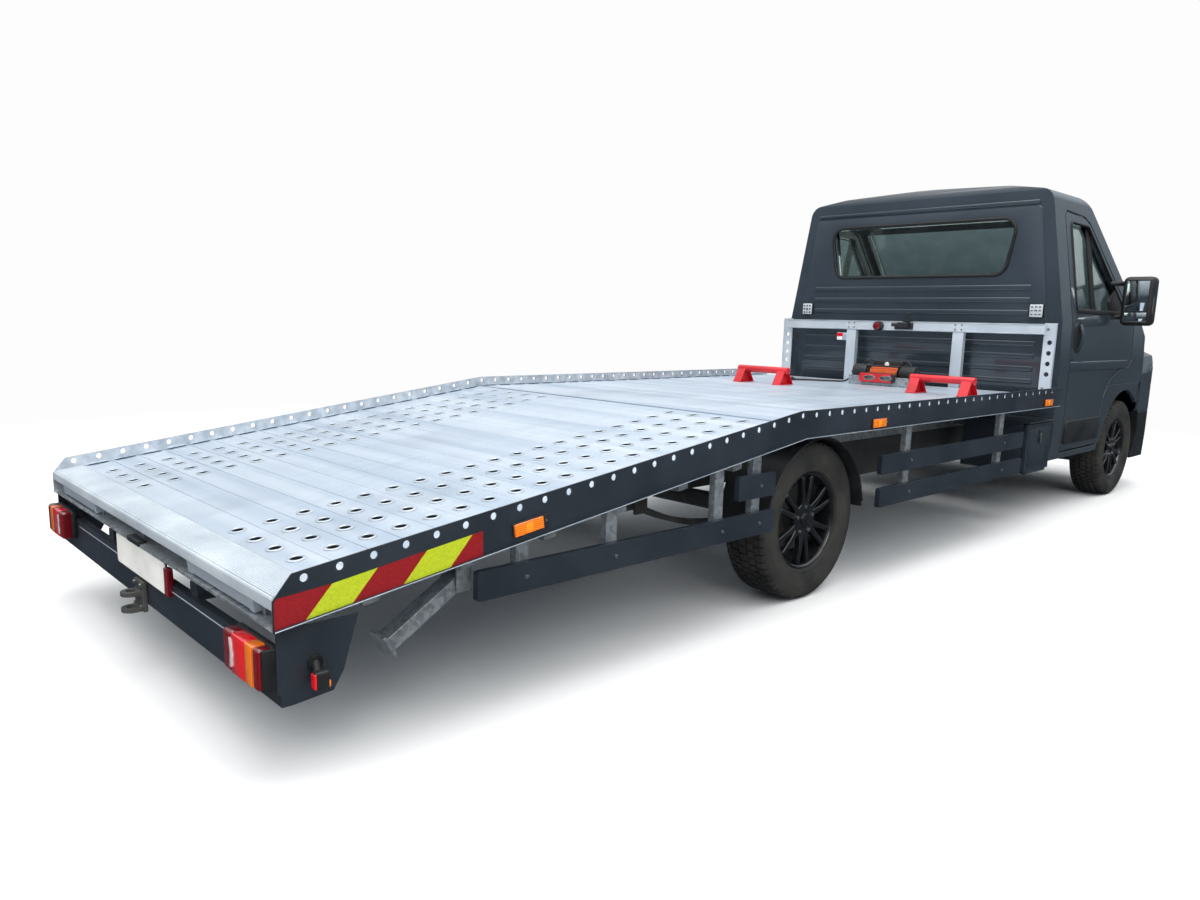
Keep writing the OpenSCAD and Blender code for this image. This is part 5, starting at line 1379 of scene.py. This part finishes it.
# ---- Wheel stops ----
# A painted steel tube welded on two folded triangular feet that drop into the deck.
stops = []
for x, y, w in ((-0.660, 2.190, 0.400), (0.470, 2.430, 0.400)):
    y = back(y)
    tube = rod("tube", (x - w / 2, y, 0.905), (x + w / 2, y, 0.905), 0.0225, 0.004, 32, steps=3)
    stops.append(tube)
    for s in (-1, 1):
        fx = x + s * (w / 2 - 0.040)
        outline = softened([(y - 0.074, 0.8155), (y + 0.074, 0.8155), (y + 0.020, 0.905),
            (y - 0.020, 0.905)], 0.006, 3)
        stops.append(plate("web", outline, 0, fx - 0.003, fx + 0.003, 0.001))
        for t in (-1, 1):
            flange = bar("flange", (fx - 0.030, fx + 0.030), (-0.0025, 0.0025), (0, 0.102), 0.001,
                1)
            flange.data.transform(Matrix.Translation((0, y + t * 0.0735,
                0.8158)) @ Matrix.Rotation(t * math.radians(30.5), 4, "X"))
            stops.append(flange)
        stops.append(bar("sole", (fx - 0.034, fx + 0.034), (y - 0.078, y + 0.078), (0.8152, 0.8192),
            0.0012, 1))
settle(paint(join("red_wheel_stops", stops), signal), "base", "wheel_stops", slot="stop_red")

# ---- Toolboxes, mudguards, tank, legs and ramps ----
# Sheet-steel boxes with a drop door and an oval lock, black plastic mudguards, a steel tank,
# galvanised legs under the tail and two slide-in aluminium ladder ramps.
rounded("toolboxes", "toolbox_bodies", 0.0025, powder, "paint")
for side, s in (("left", 1), ("right", -1)):
    rounded("toolbox_door_" + side, "toolbox_lid_" + side, 0.0025, powder, "paint")
    y = back(1.6125)
    oval = [(y + 0.024 * math.cos(2 * math.pi * k / 28),
        0.560 + 0.040 * math.sin(2 * math.pi * k / 28)) for k in range(28)]
    cup = plate("lock", oval, 0, 1.034, 1.0445, 0.0025, 2)
    handle = bar("lever", (1.040, 1.0490), (y - 0.0075, y + 0.0075), (0.535, 0.585), 0.003, 3)
    cylinder = rod("barrel", (1.041, y, 0.528), (1.0480, y, 0.528), 0.0065, 0.001, 16)
    press = plate("press", softened([(back(1.455), 0.385), (back(1.770), 0.385),
        (back(1.770), 0.620), (back(1.455), 0.620)], 0.02, 4), 0, 1.034, 1.0375, 0.0017, 2)
    made = [paint(join("lock", [cup]), abs_black), paint(join("lever", [handle, cylinder]),
        bolt_steel), paint(press, powder)]
    group = join("toolbox_lock_" + side, made)
    if s < 0:
        group.data.transform(Matrix.Scale(-1, 4, (1, 0, 0)))
        group.data.flip_normals()
    settle(group, "toolbox_door_" + side, slot="black_plastic")
rounded("mudguards", "mudguard_shells", 0.002, abs_black, "black_plastic")
WHEEL_Z = 0.355                      # height of the rear wheels' centre
LIP_R = 0.3725
LIP_TOP = 0.742                      # the lip ends under the platform
lips = []
for s in (-1, 1):
    arc_line = [(s * 1.0295, back(4.035) + LIP_R * math.cos(math.radians(a)),
        WHEEL_Z + LIP_R * math.sin(math.radians(a))) for a in range(4, 177, 6)
        if WHEEL_Z + LIP_R * math.sin(math.radians(a)) < LIP_TOP]
    lips.append(beading("lip", arc_line, 0.0045, False, 3))
settle(paint(join("mudguard_lips", lips), abs_black), "base", slot="black_plastic")
wear("fuel_tank", primer)
for side in ("left", "right"):
    wear("ramp_" + side, alloy)
    rounded("stabiliser_leg_" + side, "folding_leg_" + side, 0.002, zinc, "galvanised")

# ---- Seats ----
# A driver's seat and a double bench in woven grey cloth over foam: crowned cushions, a sewn
# channel across each, and headrests on two steel stems.
cloth, cloth_shader = surface("woven seat cloth", "#2f3237", 0.92, Sheen_Weight=0.35,
    Sheen_Roughness=0.5)
cloth_tree = cloth.node_tree
cloth_place = place_on(cloth_tree)
weft = add(cloth_tree, "TexWave", {"Vector": cloth_place, "Scale": 160.0, "Distortion": 0.6},
    bands_direction="X")
warp = add(cloth_tree, "TexWave", {"Vector": cloth_place, "Scale": 160.0, "Distortion": 0.6},
    bands_direction="Z")
weave = add(cloth_tree, "Mix", {0: 0.5, 6: weft.outputs[0], 7: warp.outputs[0]}, data_type="RGBA")
cloth_tone = add(cloth_tree, "ValToRGB", {0: weave.outputs[2]}, stops=[(0.25, "#24272b"),
    (0.75, "#42464c")])
cloth_tree.links.new(cloth_tone.outputs[0], cloth_shader.inputs["Base Color"])
cloth_dent = add(cloth_tree, "Bump", {"Height": weave.outputs[2], "Strength": 0.4,
    "Distance": 0.0008})
cloth_tree.links.new(cloth_dent.outputs[0], cloth_shader.inputs["Normal"])

VOXEL = 0.012
SWELL = 0.014


def padding(name, outline, x, half, channels):
    """A stuffed pad: an outline swept across, blown up as cloth, with sewn channels pressed in."""
    made = plate(name, outline, 0, x - half, x + half, 0.022, 3)
    take(made)
    cells = made.modifiers.new("cells", "REMESH")
    cells.mode = "VOXEL"
    cells.voxel_size = VOXEL
    bpy.ops.object.modifier_apply(modifier="cells")
    rest = [v.co.copy() for v in made.data.vertices]
    stuffing = made.modifiers.new("stuffing", "CLOTH")
    stuffing.settings.use_pressure = True
    stuffing.settings.uniform_pressure_force = 4
    stuffing.settings.effector_weights.gravity = 0
    for frame_number in range(1, 21):
        bpy.context.scene.frame_set(frame_number)
    take(made)
    bpy.ops.object.modifier_apply(modifier="stuffing")
    bpy.context.scene.frame_set(1)
    for v, start in zip(made.data.vertices, rest):
        moved = v.co - start
        if moved.length > SWELL:
            v.co = start + moved.normalized() * SWELL
    middle = sum(rest, Vector()) / len(rest)
    for v in made.data.vertices:
        for spot_y, spot_z, run in channels:
            away = (v.co.y - spot_y) * run[0] + (v.co.z - spot_z) * run[1]
            v.co += (middle - v.co).normalized() * 0.008 * math.exp(-(away / 0.010) ** 2)
    take(made)
    finer = made.modifiers.new("finer", "SUBSURF")
    finer.levels = finer.render_levels = 1
    bpy.ops.object.modifier_apply(modifier="finer")
    return paint(smooth(made, 80), cloth)


def side_points(points, inset):
    """A side outline pulled in on every side, to leave room for the padding to swell."""
    middle = (sum(p[0] for p in points) / len(points), sum(p[1] for p in points) / len(points))
    made = []
    for y, z in points:
        reach = math.hypot(y - middle[0], z - middle[1])
        share = 1 - inset / reach
        made.append((back(middle[0] + (y - middle[0]) * share),
            middle[1] + (z - middle[1]) * share))
    return made


CUSHION = [(0.640, 0.700), (1.130, 0.700), (1.130, 0.830), (0.640, 0.830)]
BACKREST = [(1.020, 0.832), (1.140, 0.832), (1.262, 1.420), (1.180, 1.438)]
HEADREST = [(1.194, 1.470), (1.264, 1.464), (1.276, 1.598), (1.218, 1.603)]
seat_parts, stems = [], []
for side, x, half in (("driver", 0.560, 0.240), ("bench", -0.330, 0.460)):
    pads = (("cushion", CUSHION, half - 0.016, [(back(0.80), 0.80, (1, 0)), (back(0.96), 0.80,
        (1, 0))]),
            ("backrest", BACKREST, half - 0.016, [(back(1.12), 1.05, (-0.2, 0.98)),
            (back(1.16), 1.27, (-0.2, 0.98))]),
            ("headrest", HEADREST, 0.115, []))
    for part, outline, wide, channels in pads:
        places = (x,) if part != "headrest" or half < 0.3 else (x - 0.22, x + 0.22)
        for k, place in enumerate(places):
            pad = padding("_".join((side, part, str(k + 1))), side_points(outline, 0.020), place,
                wide, channels)
            settle(pad, "base", slot="seat_cloth")
            seat_parts.append(pad)
            if part == "headrest":
                for s in (-0.05, 0.05):
                    stems.append(rod("stem", (place + s, back(1.222), 1.415),
                        (place + s, back(1.240), 1.490), 0.006, 0.001, 12))
    stems.append(bar("base", (x - half + 0.03, x + half - 0.03), (back(0.67), back(1.10)),
        (0.7005, 0.7100), 0.003, 2))
settle(paint(join("seat_stems_and_pans", stems), abs_black), "base", "seats", slot="black_plastic")

# ---- Dashboard ----
# Moulded dark grey plastic with a fine leather grain, a hooded instrument panel, round vents
# and a screen; the wheel is foam-skinned with three spokes.
soft_grey, soft_grey_shader = surface("grained dashboard plastic", "#1f2123", 0.62)
clouded(soft_grey, soft_grey_shader, ("#1a1c1e", "#27292c"), 0.3, 0.0016, 0.0006, (0.55, 0.75))
rounded("dashboard", "dashboard_moulding", 0.014, soft_grey, "interior", steps=4)
rounded("steering_wheel", "steering_wheel_rim", 0.002, soft_grey, "interior")
made = []
FACE = back(0.214)
for x in (-0.78, -0.10, 0.12, 0.78):
    made.append(paint(rod("vent", (x, FACE - 0.012, 1.150), (x, FACE + 0.004, 1.150), 0.042, 0.004,
        32, 0.038), abs_black))
    for k in range(-2, 3):
        made.append(paint(bar("blade", (x - 0.032, x + 0.032), (FACE + 0.001, FACE + 0.006),
            (1.150 + k * 0.013 - 0.0015, 1.150 + k * 0.013 + 0.0015), 0.0007, 1), soft_grey))
made.append(paint(bar("screen_frame", (-0.070, 0.090), (FACE - 0.004, FACE + 0.006), (1.010, 1.098),
    0.005, 2), abs_black))
made.append(paint(bar("screen", (-0.060, 0.080), (FACE + 0.004, FACE + 0.0075), (1.018, 1.090),
    0.001, 1), lens_dark))
made.append(paint(bar("glovebox", (-0.760, -0.260), (FACE - 0.014, FACE - 0.001), (0.985, 1.100),
    0.006, 3), soft_grey))
for k in range(5):
    made.append(paint(rod("dial", (-0.040 + k * 0.025, FACE - 0.010, 0.985), (-0.040 + k * 0.025,
        FACE + 0.004, 0.985), 0.009, 0.002, 20), abs_black))
settle(join("dashboard_details", made), "base", slot="interior")

# ---- Nose ----
# Unpainted grained bumper, a slatted grille, smoked polycarbonate headlamp covers with
# chrome-ringed lenses, a rubber strip under the screen and two wipers parked on it.
rounded("front_bumper", "bumper_moulding", 0.008, abs_black, "black_plastic", steps=3)
rounded("grille", "grille_frame", 0.004, abs_black, "black_plastic")
bars = []
NOSE = back(-0.948)
for k in range(5):
    z = 0.676 + k * 0.052
    bars.append(bar("slat", (-0.512, 0.512), (NOSE + 0.046, NOSE + 0.060), (z - 0.003, z + 0.003),
        0.002, 2))
for k in range(-10, 11):
    bars.append(bar("rib", (k * 0.050 - 0.002, k * 0.050 + 0.002), (NOSE + 0.052, NOSE + 0.064),
        (0.664, 0.892), 0.0015, 1))
settle(paint(join("grille_slats", bars), abs_black), "base", slot="black_plastic")
# Bright metal film on a moulded bowl: a near mirror with a slight haze
chrome, chrome_shader = surface("vapour-deposited chrome reflector", "#d9dde0", 0.08, 1.0)
clouded(chrome, chrome_shader, ("#cfd4d8", "#e4e8ea"), 0.1, 0.004, 0.0001, (0.05, 0.12))
# Glossy clear moulding over a dark housing: it reads as deep grey under a sharp gloss
smoked, smoked_shader = surface("polycarbonate over a dark lamp housing", "#171b1e", 0.12,
    Coat_Weight=1.0, Coat_Roughness=0.03)
clouded(smoked, smoked_shader, ("#14181b", "#262c30"), 0.08, 0.002, 0.0001, (0.08, 0.2))
rounded("headlamps", "headlamp_covers", 0.005, smoked, "lamp_lens", steps=3)
covers = frame["nodes"]["headlamps"].data
lamp_face = BVHTree.FromPolygons([v.co for v in covers.vertices],
    [tuple(f.vertices) for f in covers.polygons])
projectors = []
for s in (-1, 1):
    for x, z, r, finish in ((0.655, 0.810, 0.052, lens_clear), (0.785, 0.826, 0.056, lens_clear),
            (0.893, 0.862, 0.030, lens_amber)):
        place, outward, _, _ = lamp_face.ray_cast(Vector((s * x, cad_box[0].y - 0.1, z)),
            Vector((0, 1, 0)))
        ring = paint(turned("ring", [(-0.008, r), (-0.008, r + 0.007), (0.002, r + 0.007),
            (0.004, r + 0.003), (0.002, r)], 36), chrome)
        dome = [(0.008 * math.sin(math.radians(a)) - 0.002, r * math.cos(math.radians(a)))
            for a in range(0, 86, 12)]
        dome = paint(turned("dome", [(-0.006, 0.004), (-0.006, r)] + dome + [(0.006, 0.004)], 36),
            finish)
        bowl = join("projector", [ring, dome])
        bowl.data.transform(Matrix.Translation(place + outward * 0.002) @ outward.to_track_quat("X",
            "Z").to_matrix().to_4x4())
        projectors.append(bowl)
settle(join("headlamp_projectors", projectors), "base", slot="lamp_lens")
# Rubber strip at the foot of the screen, and the wipers
strip = plate("scuttle_strip", [(back(-0.3345), 1.085), (back(-0.3306), 1.085), (back(-0.3306),
    1.128), (back(-0.3338), 1.122)], 0, -0.770, 0.770, 0.0012, 2)
settle(paint(strip, seal), "base", slot="black_plastic")
SCREEN = Vector((back(-0.330), 1.180)), Vector((back(0.674), 2.010))
up_screen = (SCREEN[1] - SCREEN[0]).normalized()
out_screen = Vector((-up_screen.y, up_screen.x))


def on_screen(x, run, lift):
    """A point on the windscreen: across, up the glass and out from it."""
    place = SCREEN[0] + up_screen * run + out_screen * lift
    return (x, place.x, place.y)


wipers = []
for x0, x1 in ((0.560, -0.060), (-0.120, -0.680)):
    wipers.append(beading("arm", [on_screen(x0, 0.020, 0.006), on_screen(x0 - 0.06, 0.060, 0.010),
        on_screen((x0 + x1) / 2, 0.078, 0.012)], 0.0045, False, 3))
    wipers.append(beading("blade", [on_screen(x0 - 0.02, 0.052, 0.006), on_screen((x0 + x1) / 2,
        0.078, 0.007), on_screen(x1, 0.096, 0.006)], 0.0045, False, 3))
    wipers.append(rod("boss", on_screen(x0, 0.016, 0.001), on_screen(x0, 0.020, 0.010), 0.016,
        0.003, 20))
settle(paint(join("wipers", wipers), abs_black), "base", slot="black_plastic")

# ---- The end ----
import json
